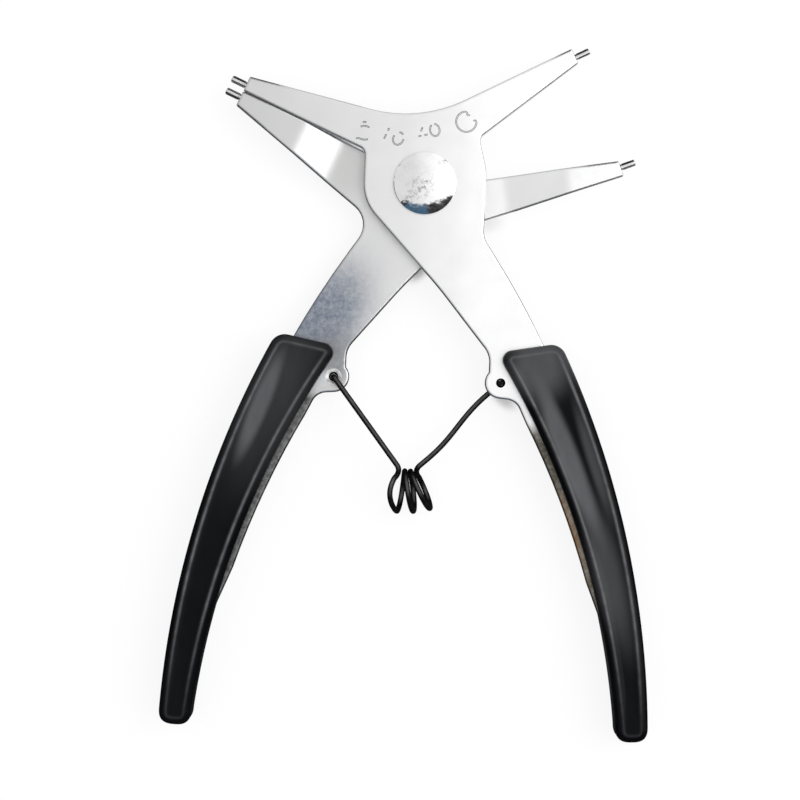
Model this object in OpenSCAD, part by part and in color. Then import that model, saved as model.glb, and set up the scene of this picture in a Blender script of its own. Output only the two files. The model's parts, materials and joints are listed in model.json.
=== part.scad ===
// Combination circlip pliers: one pair of jaws opens and the other closes as the handles are squeezed.
// Millimetres. The pivot axis is Z, the table is z = 0, the jaws point to +Y and the handles to -Y.
// The levers are drawn sprung open, with the external jaws resting against each other.

/* [Plates] */
// Thickness of each lever plate
plate_t = 2.8; // [2.2:0.1:3.4]
// Gap between the two plates
plate_gap = 0.1; // [0.05:0.05:0.3]
// Distance from the pivot to the straight left and right sides of the hub
hub_side = 15.6; // [14:0.2:18]
// How far the rear hub stays inside the front one
hub_hidden = 0.6; // [0.2:0.1:2]
// How far the right crotch of the front lever lies inside the hub side
crotch_inset = 2.1; // [1:0.1:3]
// Height of the right shoulder of the hub above the pivot
shoulder_y = 4; // [2:0.5:6]
// Radius of the hub corners
hub_corner_r = 12; // [8:0.5:14]
// Radius of the narrow crotches of the front lever
crotch_r = 2; // [1:0.25:3]
// Radius of the wide crotch of the rear lever, and of the waist of the front one
waist_r = 6; // [4:0.5:7]
// Radius of the hollow between the two front arms
hollow_r = 35; // [25:1:45]

/* [Pivot rivet] */
// Diameter of the rivet shank
rivet_d = 8; // [6:0.5:10]
// Diameter of the two rivet heads
rivet_head_d = 16; // [13:0.5:20]
// Height of the domed front head
dome_h = 2.9; // [2:0.1:4]
// Straight rim under the dome
dome_rim = 0.5; // [0.2:0.1:1]
// Chamfer round the flat rear head
rear_chamfer = 0.8; // [0.2:0.1:1.5]
// Radial running clearance of the front lever on the shank
pivot_clear = 0.05; // [0.02:0.01:0.1]
// Gap between the front lever and the domed head
head_clear = 0.05; // [0.02:0.01:0.1]

/* [External jaws] */
// Direction of the line on which the external jaws meet, in degrees
ext_dir = 156.5; // [152:0.5:160]
// Distance of that line above the pivot
ext_line = 1.15; // [0.5:0.05:2]
// Gap left between the external jaws at rest
stop_gap = 0.12; // [0.06:0.02:0.3]
// Distance from the pivot to the ends of the external jaws
ext_reach = 52; // [46:0.5:58]
// Angle between the two edges of the front external arm
ext_front_taper = 10.8; // [9:0.2:13]
// Angle between the two edges of the rear external arm
ext_rear_taper = 14.5; // [12:0.5:16]
// Where the rear external arm starts to rise into the front plane
ext_rise_from = 23.5; // [22:0.5:26]
// Where the rear external arm is level again
ext_rise_to = 34.4; // [32:0.5:40]

/* [Internal jaws] */
// Direction of the middle line between the open internal jaws, in degrees
int_dir = 24.6; // [22:0.2:27]
// Half of the angle between the open internal jaws
int_half = 14.8; // [14:0.2:18]
// Distance of each internal jaw's inner edge from the pivot
int_line = 0.8; // [0.6:0.1:1.5]
// Distance from the pivot to the ends of the internal jaws
int_reach = 49.8; // [45:0.5:56]
// Angle between the two edges of the front internal arm
int_front_taper = 11.5; // [10:0.5:13]
// Angle between the two edges of the rear internal arm
int_rear_taper = 10; // [9:0.5:12]
// Turn of the internal tips towards each other, in degrees
int_toe = 12; // [6:1:14]
// Where the rear internal arm starts to rise into the front plane
int_rise_from = 20.7; // [20:0.5:24]
// Where the rear internal arm is level again
int_rise_to = 36.5; // [32:0.5:40]

/* [Jaw ends and tips] */
// Width of each jaw at its end
jaw_end_w = 4; // [3.5:0.1:5]
// Radius of the corners of the jaw ends
jaw_corner_r = 0.4; // [0.2:0.1:0.6]
// Radius of the bends of the rear arms
bend_r = 3; // [1:0.5:5]
// Diameter of the tip pins
pin_d = 1.8; // [1.2:0.1:2]
// Length of a pin outside the jaw
pin_out = 4; // [2.5:0.1:5]
// Depth of a pin's seat in the jaw
pin_seat = 5; // [3:0.5:8]
// Step in diameter where a pin enters the jaw, and taper of the seat below that step
pin_step = 0.3; // [0.1:0.1:0.4]
// Distance of a pin's axis from the jaw's inner edge
pin_inset = 1.65; // [1.5:0.05:2.2]
// Chamfer on the end of a pin
pin_chamfer = 0.3; // [0.1:0.05:0.5]

/* [Handles] */
// Radius of the outer edge of a handle
handle_r = 235; // [200:5:280]
// Sideways place of the handle's outer edge at the top of the grip
handle_top_x = 36.2; // [34:0.2:40]
// Distance below the pivot of that same point
handle_top_y = 39.4; // [38:0.2:44]
// Lean of the handle's outer edge at that point, in degrees
handle_lean = 27.4; // [26:0.2:29]
// Distance below the pivot at which the curved tang starts
tang_top_y = 18; // [17:0.5:20]
// Length of the tang inside the grip, along its outer edge
tang_len = 82; // [72:1:92]
// Distance below the top of the grip at which the tang's inner edge starts to follow the grip
tang_show_from = 16; // [14:0.5:18]
// Width from the grip's outer edge to the tang's inner edge there
tang_root_w = 16.1; // [15.7:0.1:16.5]
// Distance below the top of the grip at which the tang's inner edge turns into the grip
tang_show_to = 62; // [58:0.5:66]
// Width from the grip's outer edge to the tang's inner edge there
tang_mid_w = 12.2; // [11.8:0.1:12.6]
// Width from the grip's outer edge to the tang's inner edge at its end
tang_end_w = 8; // [7:0.1:8.5]
// Radius of the tang's end corners
tang_end_r = 1.5; // [0.5:0.25:1.8]
// Sideways place of the bend in the tang's neck
neck_x = 4.7; // [3:0.2:7]
// Distance below the pivot of the bend in the tang's neck
neck_y = 26.6; // [24:0.2:29]
// Slope of the neck's inner edge above that bend, in degrees
neck_slope = 46.7; // [44:0.5:50]
// Radius of the bend in the neck
neck_r = 100; // [50:10:150]
// Sideways place of the crook where the neck turns down to the spring lug
crook_x = 18.3; // [17.5:0.1:19]
// Distance below the pivot of that crook
crook_y = 43; // [42:0.2:44]
// Radius of that crook
crook_r = 6; // [3:0.5:8]

/* [Grips] */
// Thickness of a grip
grip_t = 12; // [11:0.5:14]
// Length of a grip along its outer edge
grip_len = 104.9; // [100:0.1:116]
// Width of a grip near its top
grip_top_w = 15.4; // [14.5:0.1:16.5]
// Width of a grip at its butt
grip_butt_w = 8.3; // [7.5:0.1:9.5]
// Radius of a grip's inner edge
grip_inner_r = 217; // [200:1:260]
// How much higher the top edge is on the inner side
grip_skew = 5; // [3:0.1:7]
// Wall between the tang and the grip's outer edge
grip_wall = 4; // [3:0.1:5]
// Rounding of the grip's long edges
grip_edge_r = 2.2; // [1:0.1:3]
// Radius of the grip's outer top corner
grip_outer_corner = 4; // [2:0.5:5]
// Radius of the grip's inner top corner
grip_inner_corner = 3; // [1:0.5:4]

/* [Return spring] */
// Diameter of the spring wire
wire_d = 1.4; // [1.2:0.1:1.8]
// Distance from the pivot to each spring hole
lug_reach = 54.5; // [52:0.5:57]
// Angle of each spring hole from the middle line, in degrees
lug_angle = 23.1; // [22:0.1:24]
// Radius of the lug round a spring hole
lug_r = 4; // [3.5:0.1:4.5]
// Length of a lug's lower edge, from the lug to where it meets the tang's inner edge
lug_foot = 4.5; // [3.5:0.1:5]
// Radius of the hollow corner below a lug
lug_fillet = 4; // [2:0.5:5]
// Diameter of a spring hole
lug_hole_d = 2.4; // [2.2:0.1:2.8]
// Countersink of a spring hole, on the side that the wire bends round
lug_sink = 0.6; // [0.3:0.1:1]
// Clearance between the wire and a plate that it lies on
wire_clear = 0.05; // [0.03:0.01:0.2]
// Radius of the coil at the middle of the wire
coil_r = 5.2; // [4.5:0.1:5.2]
// Distance of the coil's axis below the pivot
coil_y = 78.8; // [76:0.2:84]
// Sideways place of the top of the first turn
coil_x = -3.6; // [-5:0.05:-3]
// Gap between neighbouring turns where they lie closest
coil_gap = 0.06; // [0.05:0.01:0.4]
// Sideways lean of the first turn at its bottom
coil_lean = -2.25; // [-3:0.05:-1]
// Growth of that lean with each turn
coil_fan = 2.74; // [2:0.02:3.5]
// Sideways bow of the first half turn
coil_bow = 1.7; // [0:0.1:2]
// Sideways sway of the right leg between its lug and the coil
leg_sway = 0.5; // [0:0.1:1]

/* [Hidden] */
$fn = 64;

steel = [0.80, 0.81, 0.83];
bright = [0.90, 0.90, 0.91];
pin_steel = [0.35, 0.35, 0.37];
wire_black = [0.10, 0.10, 0.11];
grip_black = [0.12, 0.12, 0.13];

// Points on a rounded corner, and steps along the tang's outer and inner edges
corner_steps = 8;
tang_steps = 16;
show_steps = 8;
// Length by which a cutting solid passes what it cuts
past = 1;
// Half width of the solids that select an arm, wider than any arm
arm_room = 30;
// Width swept for each side of a grip, more than a whole grip
grip_room = 40;
// Level stretch of a rear arm before it rises
rise_lead = 2;
// Angle round a lug at which its lower edge leaves it
lug_leave = -95;
// Turns of the spring: angles where the legs leave the coil, and the lead of the bend before them
coil_from = 50;
coil_to = 1030;
leg_lead = 40;
coil_step = 20;
// Bend from a leg into the coil: its length, and how far its corner reaches past the coil's end
// Radius of a hook, and how far a hook stops short of the plate's far face
leg_bend = 2;
leg_nose = 0.6;
hook_r = 1.5;
hook_short = 0.3;
bend_steps = 4;
sway_steps = 10;
wire_sides = 10;

// Heights
mid_z = grip_t / 2;
rear_z = mid_z - plate_gap / 2 - plate_t;
front_z = mid_z + plate_gap / 2;
rise = front_z - rear_z;
jaw_mid_z = front_z + plate_t / 2;

// Handle arc and its two edges
handle_top = [handle_top_x, -handle_top_y];
handle_c = handle_top - handle_r * dir(handle_lean);
tang_arc_r = handle_r - grip_wall;
tang_top_a = asin((-tang_top_y - handle_c[1]) / tang_arc_r);
tang_end_a = station(tang_len);
butt_r = grip_butt_w / 2;
butt_s = grip_len - butt_r;
inner_a = on_handle(0, grip_top_w);
inner_b = on_handle(butt_s, grip_butt_w);
inner_c = arc_centre(inner_a, inner_b, grip_inner_r);

// Spring lugs and the bend in the neck, on the right-hand lever
lug = lug_reach * dir(lug_angle - 90);
neck = [neck_x, -neck_y];

// Spring legs and the spacing of its turns
left_leg_z = rear_z + plate_t + wire_clear + wire_d / 2;
right_leg_z = front_z - wire_clear - wire_d / 2;
coil_pitch = wire_d + coil_gap;

// Arms: direction, offset of the inner edge, side of the body, reach, taper, toe
front_ext = [ext_dir, -ext_line, -1, ext_reach, ext_front_taper, 0];
rear_ext = [ext_dir, stop_gap - ext_line, 1, ext_reach, ext_rear_taper, 0];
front_int = [int_dir + int_half, int_line, 1, int_reach, int_front_taper, int_toe];
rear_int = [int_dir - int_half, -int_line, -1, int_reach, int_rear_taper, int_toe];

// Unit vector at an angle, and the same turned a quarter anticlockwise
function dir(a) = [cos(a), sin(a)];
function across(a) = [-sin(a), cos(a)];
function unit(v) = v / norm(v);
function mirrored(points) = [for (i = [len(points) - 1 : -1 : 0]) flipped(points[i])];
function flipped(p) = [for (k = [0 : len(p) - 1]) k == 0 ? -p[0] : p[k]];

// Crossing of the line through p at angle a with the line through q at angle b
function meet(p, a, q, b) = p + dir(a) * cross(q - p, dir(b)) / cross(dir(a), dir(b));

// Centre of the arc of radius r from p down to q, on the inner side
function arc_centre(p, q, r) =
    let (half = (q - p) / 2, side = unit([half[1], -half[0]]))
    p + half + side * sqrt(r * r - half * half);

// Outline with each corner [x, y, radius] rounded by an arc
function rounded(points) = [
    for (i = [0 : len(points) - 1])
        let (n = len(points), p = points[i], r = len(p) > 2 ? p[2] : 0)
        each r == 0 ? [xy(p)] : corner(xy(points[(i + n - 1) % n]), xy(p), xy(points[(i + 1) % n]), r)
];
function xy(p) = [p[0], p[1]];
function corner(before, at, after, r) =
    let (
        u = unit(before - at),
        v = unit(after - at),
        half = acos(u * v) / 2,
        centre = at + unit(u + v) * r / sin(half),
        turn = cross(v, u) > 0 ? 180 - 2 * half : 2 * half - 180,
        first = at + u * r / tan(half) - centre
    )
    [for (k = [0 : corner_steps]) centre + turned(first, turn * k / corner_steps)];
function turned(v, a) = [v[0] * cos(a) - v[1] * sin(a), v[0] * sin(a) + v[1] * cos(a)];

// Angle on the handle's arc, a length s below the top of the grip, and a point w inside its outer edge
function station(s) = handle_lean - s / handle_r * 180 / PI;
function on_handle(s, w) = handle_c + (handle_r - w) * dir(station(s));

// Point of an arm at s along its inner edge and w across it
function arm_at(arm, s, w) = s * dir(arm[0]) + (arm[1] + arm[2] * w) * across(arm[0]);
function arm_end(arm, w) = arm_at(arm, arm[3] + w * tan(arm[5]), w);
function inner_end(arm) = concat(arm_end(arm, 0), jaw_corner_r);
function outer_end(arm) = concat(arm_end(arm, jaw_end_w), jaw_corner_r);
function outer_dir(arm) = arm[0] - arm[2] * arm[4];
function pin_dir(arm) = arm[0] - arm[2] * arm[5];

// Right-hand tang as corners: the neck, the crook, the lug, the inner edge, the end, and up the outer edge
function tang() = concat(
    [
        concat(neck, neck_r),
        [crook_x, -crook_y, crook_r],
        [crook_x, lug[1]],
        lug_edge(0),
        concat(lug_edge(lug_foot), lug_fillet)
    ],
    [for (k = [0 : show_steps]) shown_edge(k / show_steps)],
    [
        concat(on_handle(tang_len, tang_end_w), tang_end_r),
        concat(on_handle(tang_len, grip_wall), tang_end_r)
    ],
    [for (k = [1 : tang_steps]) tang_edge(k / tang_steps)]
);
function lug_edge(s) = lug + lug_r * dir(lug_leave) + s * dir(lug_leave + 90);
function shown_edge(share) = on_handle(
    tang_show_from + share * (tang_show_to - tang_show_from),
    tang_root_w + share * (tang_mid_w - tang_root_w)
);
function tang_edge(share) = handle_c + tang_arc_r * dir(tang_end_a + share * (tang_top_a - tang_end_a));

// Corners of the front lever, anticlockwise from its internal jaw
function front_corners() = concat(
    [
        inner_end(front_int),
        outer_end(front_int),
        concat(crossing(front_int, arm_end(front_ext, jaw_end_w), outer_dir(front_ext)), hollow_r),
        outer_end(front_ext),
        inner_end(front_ext),
        concat(meet(arm_end(front_ext, 0), ext_dir, [-hub_side, 0], 90), crotch_r),
        concat(meet([-hub_side, 0], 90, neck, -neck_slope), hub_corner_r)
    ],
    tang(),
    [
        concat(meet([hub_side, 0], 90, tang_edge(1), tang_top_a + 90), waist_r),
        [hub_side, shoulder_y, hub_corner_r],
        concat(meet(arm_end(front_int, 0), front_int[0], [hub_side - crotch_inset, 0], 90), crotch_r)
    ]
);

// Corners of the rear lever, anticlockwise from its internal jaw
function rear_corners() = concat(
    [
        outer_end(rear_int),
        inner_end(rear_int),
        arm_at(rear_int, hub_side / 2, 0),
        arm_at(rear_ext, hub_side / 2, 0),
        inner_end(rear_ext),
        outer_end(rear_ext),
        concat(crossing(rear_ext, flipped(tang_edge(1)), 90 - tang_top_a), waist_r)
    ],
    mirrored(tang()),
    [concat(crossing(rear_int, flipped(neck), neck_slope), hub_corner_r)]
);
function crossing(arm, q, b) = meet(arm_end(arm, jaw_end_w), outer_dir(arm), q, b);

// Side view of a rear arm along its inner edge: level, rising into the front plane, level again
function rise_profile(from, to, end) =
    let (slope = atan(rise / (to - from)), shift = plate_t * tan(slope / 2))
    rounded([
        [from - rise_lead, rear_z],
        [from, rear_z, bend_r],
        [to, front_z, bend_r],
        [end, front_z],
        [end, front_z + plate_t],
        [to - shift, front_z + plate_t, bend_r],
        [from - shift, rear_z + plate_t, bend_r],
        [from - rise_lead, rear_z + plate_t]
    ]);

// Middle line of the spring wire: a turn's point at an angle, then hooks, legs and coil in one route
function lean(a) = coil_lean + coil_fan * a / 360;
function coil_drop(a) = sqrt(4 * coil_r * coil_r - pow(lean(a), 2));
function coil_at(a) = [
    coil_x + coil_pitch * a / 360 + lean(a) * (1 - cos(a)) / 2 - first_bow(a),
    coil_r - coil_y - coil_drop(a) * (1 - cos(a)) / 2,
    mid_z + coil_r * sin(a)
];
function first_bow(a) = a < 180 ? coil_bow * pow(sin(a), 2) : 0;
function bent(p, q, r) = [
    for (k = [0 : bend_steps])
        let (t = k / bend_steps)
        (1 - t) * (1 - t) * p + 2 * t * (1 - t) * q + t * t * r
];
function swayed(p, q) =
    let (run = q - p, side = unit([run[1], -run[0], 0]))
    [
        for (k = [1 : sway_steps - 1])
            let (t = k / sway_steps)
            p + t * run + leg_sway * sin(360 * t) * side
    ];
function hook(hole, leg_z, end_z, to) =
    let (top = concat(hole, leg_z), run = unit(to - top), down = [0, 0, sign(end_z - leg_z)])
    concat([concat(hole, end_z)], bent(top + hook_r * down, top, top + hook_r * run));
function spring_route() =
    let (
        left_turn = coil_at(coil_from - leg_lead) + [leg_nose, 0, 0],
        right_turn = coil_at(coil_to + leg_lead) - [leg_nose, 0, 0],
        left_hook = hook(flipped(lug), left_leg_z, rear_z + hook_short, left_turn),
        right_hook = hook(lug, right_leg_z, front_z + plate_t - hook_short, right_turn),
        left_out = unit(left_hook[len(left_hook) - 1] - left_turn),
        right_end = right_hook[len(right_hook) - 1],
        right_start = right_turn + leg_bend * unit(right_end - right_turn)
    )
    concat(
        left_hook,
        bent(left_turn + leg_bend * left_out, left_turn, coil_at(coil_from)),
        [for (a = [coil_from + coil_step : coil_step : coil_to - coil_step]) coil_at(a)],
        bent(coil_at(coil_to), right_turn, right_start),
        swayed(right_start, right_end),
        [for (k = [len(right_hook) - 1 : -1 : 0]) right_hook[k]]
    );

// Closed round tube along a route that never runs along X
module tube(route, d) {
    last = len(route) - 1;
    rings = [
        for (i = [0 : last])
            let (
                ahead = unit(route[min(i + 1, last)] - route[max(i - 1, 0)]),
                u = unit(cross([1, 0, 0], ahead)),
                v = cross(ahead, u)
            )
            for (j = [0 : wire_sides - 1])
                let (a = 360 * j / wire_sides)
                route[i] + d / 2 * (cos(a) * u + sin(a) * v)
    ];
    sides = [
        for (i = [0 : last - 1], j = [0 : wire_sides - 1])
            let (a = i * wire_sides, k = (j + 1) % wire_sides, b = a + wire_sides)
            each [[a + j, b + j, b + k], [a + j, b + k, a + k]]
    ];
    start = [[for (j = [0 : wire_sides - 1]) j]];
    end = [[for (j = [wire_sides - 1 : -1 : 0]) last * wire_sides + j]];
    polyhedron(rings, concat(start, sides, end));
}

// Flat plates of the two levers, with the lug round each spring hole
module front_plan() {
    polygon(rounded(front_corners()));
    translate(lug)
        circle(lug_r);
}

module rear_plan() {
    polygon(rounded(rear_corners()));
    circle(hub_side - hub_hidden);
    translate(flipped(lug))
        circle(lug_r);
}

module front_plate() {
    translate([0, 0, front_z])
        linear_extrude(plate_t)
            front_plan();
}

module rear_plate() {
    translate([0, 0, rear_z])
        linear_extrude(plate_t)
            rear_plan();
}

// Everything on an arm past a distance s from the pivot
module past_arm(arm, s) {
    rotate([0, 0, arm[0]])
        translate([s, -arm_room, rear_z - past])
            cube([arm[3], 2 * arm_room, rise + plate_t + 2 * past]);
}

// Rear arm from where its level root ends, lifted into the front plane
module risen_arm(arm, from, to) {
    intersection() {
        translate([0, 0, rear_z])
            linear_extrude(rise + plate_t)
                rear_plan();
        rotate([90, 0, arm[0]])
            linear_extrude(2 * arm_room, center = true)
                polygon(rise_profile(from, to, arm[3] + 2 * jaw_end_w));
    }
}

// A tip pin, and the seat drilled for it in the jaw
module at_tip(arm) {
    translate(concat(arm_end(arm, pin_inset), jaw_mid_z))
        rotate([0, 90, pin_dir(arm)])
            children();
}

module pin(arm) {
    color(pin_steel)
        at_tip(arm) {
            taper_seat();
            cylinder(d = pin_d, h = pin_out - pin_chamfer);
            translate([0, 0, pin_out - pin_chamfer])
                cylinder(d1 = pin_d, d2 = pin_d - 2 * pin_chamfer, h = pin_chamfer);
        }
}

module pin_hole(arm) {
    at_tip(arm) {
        taper_seat();
        cylinder(d = pin_d - pin_step, h = past);
    }
}

module taper_seat() {
    translate([0, 0, -pin_seat])
        cylinder(d1 = pin_d - 2 * pin_step, d2 = pin_d - pin_step, h = pin_seat);
}

// Spring hole through a plate whose wire side is at z, opening upwards (1) or downwards (-1)
module spring_hole(at, z, up) {
    translate(concat(at, z))
        mirror([0, 0, up > 0 ? 0 : 1]) {
            translate([0, 0, -plate_t - past])
                cylinder(d = lug_hole_d, h = plate_t + 2 * past);
            translate([0, 0, -lug_sink])
                cylinder(d1 = lug_hole_d, d2 = lug_hole_d + 4 * lug_sink, h = 2 * lug_sink);
        }
}

module front_lever() {
    color(steel)
        difference() {
            front_plate();
            translate([0, 0, front_z - past])
                cylinder(d = rivet_d + 2 * pivot_clear, h = plate_t + 2 * past);
            spring_hole(lug, front_z, -1);
            pin_hole(front_ext);
            pin_hole(front_int);
        }
}

module rear_lever() {
    color(steel)
        difference() {
            union() {
                difference() {
                    rear_plate();
                    past_arm(rear_ext, ext_rise_from - rise_lead);
                    past_arm(rear_int, int_rise_from - rise_lead);
                }
                risen_arm(rear_ext, ext_rise_from, ext_rise_to);
                risen_arm(rear_int, int_rise_from, int_rise_to);
            }
            translate([0, 0, rear_z - past])
                cylinder(d = rivet_d, h = plate_t + 2 * past);
            spring_hole(flipped(lug), rear_z + plate_t, 1);
            pin_hole(rear_ext);
            pin_hole(rear_int);
        }
}

module pivot_rivet() {
    dome_z = front_z + plate_t + head_clear;
    cap_h = dome_h - dome_rim;
    cap_r = (pow(rivet_head_d / 2, 2) + cap_h * cap_h) / (2 * cap_h);
    color(bright) {
        cylinder(d1 = rivet_head_d - 2 * rear_chamfer, d2 = rivet_head_d, h = rear_chamfer);
        translate([0, 0, rear_chamfer])
            cylinder(d = rivet_head_d, h = rear_z - rear_chamfer);
        translate([0, 0, rear_z])
            cylinder(d = rivet_d, h = dome_z - rear_z);
        translate([0, 0, dome_z])
            cylinder(d = rivet_head_d, h = dome_rim);
        intersection() {
            translate([0, 0, dome_z + dome_h - cap_r])
                sphere(cap_r);
            translate([0, 0, dome_z + dome_rim])
                cylinder(d = rivet_head_d, h = dome_h);
        }
    }
}

module return_spring() {
    color(wire_black)
        tube(spring_route(), wire_d);
}

// Section of a grip's long side: solid to the left of x = 0, with both edges rounded
module grip_side() {
    translate([-grip_room, 0])
        square([grip_room - grip_edge_r, grip_t]);
    translate([-2 * grip_edge_r, grip_edge_r])
        square([2 * grip_edge_r, grip_t - 2 * grip_edge_r]);
    for (z = [grip_edge_r, grip_t - grip_edge_r])
        translate([-grip_edge_r, z])
            circle(grip_edge_r);
}

// Right-hand grip before its slot: the sides swept along the two arcs, cut at the top, and a round butt
module grip_body() {
    intersection() {
        translate(handle_c)
            rotate_extrude()
                translate([handle_r, 0])
                    grip_side();
        translate(inner_c)
            rotate_extrude()
                translate([grip_inner_r, 0])
                    mirror([1, 0])
                        grip_side();
        linear_extrude(grip_t)
            polygon(rounded([
                concat(handle_top, grip_outer_corner),
                concat(on_handle(-grip_skew, grip_top_w), grip_inner_corner),
                on_handle(grip_skew, grip_top_w + grip_wall),
                on_handle(butt_s, 2 * grip_butt_w),
                on_handle(butt_s, -grip_butt_w),
                handle_top - grip_len / 2 * across(handle_lean)
            ]));
    }
    translate(on_handle(butt_s, butt_r))
        rotate_extrude()
            intersection() {
                translate([butt_r, 0])
                    grip_side();
                square([butt_r, grip_t]);
            }
}

// Grip moulded round the right-hand tang; turned over, the same moulding fits the left-hand one
module grip() {
    color(grip_black)
        difference() {
            grip_body();
            front_plate();
        }
}

module right_grip() {
    grip();
}

module left_grip() {
    translate([0, 0, grip_t])
        rotate([0, 180, 0])
            grip();
}

module front_external_pin() {
    pin(front_ext);
}

module rear_external_pin() {
    pin(rear_ext);
}

module front_internal_pin() {
    pin(front_int);
}

module rear_internal_pin() {
    pin(rear_int);
}

front_lever();
rear_lever();
pivot_rivet();
front_external_pin();
rear_external_pin();
front_internal_pin();
rear_internal_pin();
return_spring();
left_grip();
right_grip();
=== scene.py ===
"""Circlip pliers on a pale table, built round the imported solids."""

import json
import math

import bmesh
import bpy
import numpy as np
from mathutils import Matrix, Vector
from mathutils.geometry import delaunay_2d_cdt


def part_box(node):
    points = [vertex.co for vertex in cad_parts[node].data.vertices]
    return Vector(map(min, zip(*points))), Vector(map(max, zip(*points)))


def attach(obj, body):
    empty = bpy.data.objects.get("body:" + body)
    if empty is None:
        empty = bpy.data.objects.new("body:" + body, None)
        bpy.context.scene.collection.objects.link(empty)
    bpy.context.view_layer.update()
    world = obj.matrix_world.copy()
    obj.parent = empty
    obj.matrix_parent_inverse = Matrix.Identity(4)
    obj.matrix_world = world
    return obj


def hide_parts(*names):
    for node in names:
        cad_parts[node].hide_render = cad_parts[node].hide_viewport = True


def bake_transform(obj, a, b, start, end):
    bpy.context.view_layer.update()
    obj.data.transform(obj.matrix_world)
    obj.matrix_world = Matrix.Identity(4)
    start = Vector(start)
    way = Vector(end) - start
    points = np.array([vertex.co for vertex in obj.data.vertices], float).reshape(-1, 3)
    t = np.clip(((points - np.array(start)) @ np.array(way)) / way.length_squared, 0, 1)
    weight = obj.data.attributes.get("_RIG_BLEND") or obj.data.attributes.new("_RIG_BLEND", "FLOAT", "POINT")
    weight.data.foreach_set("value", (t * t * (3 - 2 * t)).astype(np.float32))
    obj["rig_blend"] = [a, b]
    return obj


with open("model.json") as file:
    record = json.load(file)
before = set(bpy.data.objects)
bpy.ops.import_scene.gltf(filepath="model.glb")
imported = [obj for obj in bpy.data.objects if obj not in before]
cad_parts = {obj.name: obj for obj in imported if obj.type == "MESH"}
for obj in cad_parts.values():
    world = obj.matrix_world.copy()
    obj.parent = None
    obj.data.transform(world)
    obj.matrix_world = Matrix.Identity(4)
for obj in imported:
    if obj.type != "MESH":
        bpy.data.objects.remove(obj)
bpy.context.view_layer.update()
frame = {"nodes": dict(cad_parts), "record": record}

bl_info = {
    "name": "Circlip pliers",
    "version": (1, 0, 0),
    "blender": (4, 5, 0),
    "location": "View3D > Sidebar > Pliers",
    "description": "Levers, rivet, tip pins, return spring and grips of combination circlip pliers",
    "category": "Object",
}

# Sizes shared with the solids, in millimetres and degrees
MM = 0.001
PLATE_T = 2.8
REAR_Z = 3.15
FRONT_Z = 6.05
MID_Z = 6.0
RISE = FRONT_Z - REAR_Z
EXT_DIR = 156.5
EXT_RISE = (23.5, 34.4)
INT_DIR = 9.8
INT_RISE = (20.7, 36.5)
RIVET_R = 8.0
SHANK_R = 4.0
PIVOT_HOLE_R = 4.05
LUG = (21.382, -50.130)
LUG_HOLE_R = 1.2
LUG_SINK = 0.6
HANDLE_R = 235.0
HANDLE_TOP = (36.2, -39.4)
HANDLE_LEAN = 27.4
GRIP_T = 12.0
GRIP_LEN = 104.9
GRIP_TOP_W = 15.4
GRIP_BUTT_W = 8.3
GRIP_INNER_R = 217.0
GRIP_SKEW = 5.0
WIRE_R = 0.7
COIL_R = 5.2
COIL_Y = 78.8
COIL_X = -3.6
COIL_PITCH = 1.46
COIL_LEAN = -2.25
COIL_FAN = 2.74
COIL_BOW = 1.7
COIL_FROM = 50.0
COIL_TO = 1030.0
LEG_LEAD = 40.0
LEG_BEND = 2.0
LEG_NOSE = 0.6
HOOK_R = 1.5
LEG_SWAY = 0.5
HOOK_SHORT = 0.3
WIRE_CLEAR = 0.05
LEFT_LUG = (-LUG[0], LUG[1])
# The rear lever's arms: their directions, and where along them the plate rises
ARMS = ((EXT_DIR, EXT_RISE), (INT_DIR, INT_RISE))
# Length along a grip at which its butt begins
BUTT_S = GRIP_LEN - GRIP_BUTT_W / 2

# Fineness of the meshes
OUTLINE_STEP = 0.6
ROUND_STEPS = 5
SHEARED_STEPS = 3
GUARD = 0.08
HOLE_SIDES = 48
LATHE_SIDES = 96
PIN_SIDES = 40
DOME_STEPS = 40
BUTT_STEPS = 36
BUTT_ROWS = 18

# The left lug's countersink as it looks from above, worn wide and shallow
SINK_DEPTH = 0.34
SINK_REACH = 0.9
# How square the butt of a grip is: 2 is round, more is squarer
BUTT_POWER = 2.8

# Finishes of a lever's faces, in the order of its materials
PLATED, STAMPED, DRILLED, SHEARED, COUNTERSUNK = range(5)


def aim(angle):
    """Unit vector in the plane of the table at an angle in degrees."""
    return np.array([math.cos(math.radians(angle)), math.sin(math.radians(angle))])


def smooth_step(x, low, high):
    """Rises smoothly from 0 at low to 1 at high."""
    t = np.clip((np.asarray(x, float) - low) / (high - low), 0.0, 1.0)
    return t * t * (3 - 2 * t)


def unit(vector):
    """Vector of length 1 in the same direction."""
    return vector / np.linalg.norm(vector)


def cross(u, v):
    """Cross product of two vectors in plan."""
    return u[0] * v[1] - u[1] * v[0]


def rotate(point, cosine, sine):
    """Point in plan, turned about the origin."""
    x, y = point
    return np.array([x * cosine - y * sine, x * sine + y * cosine])


def arc(radius, start, end, steps):
    """Points of an arc about the origin, between two angles in degrees."""
    return [radius * aim(start + (end - start) * k / steps) for k in range(steps + 1)]


def sides_of(loop):
    """Both ends of each side of a closed outline."""
    return zip(loop, np.roll(loop, -1, axis=0))


def resample(loop, step):
    """Closed outline with its long edges divided, so that none is longer than step."""
    out = []
    for p, q in sides_of(loop):
        parts = max(1, math.ceil(np.linalg.norm(q - p) / step))
        out += [p + (q - p) * k / parts for k in range(parts)]
    return np.array(out)


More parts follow.
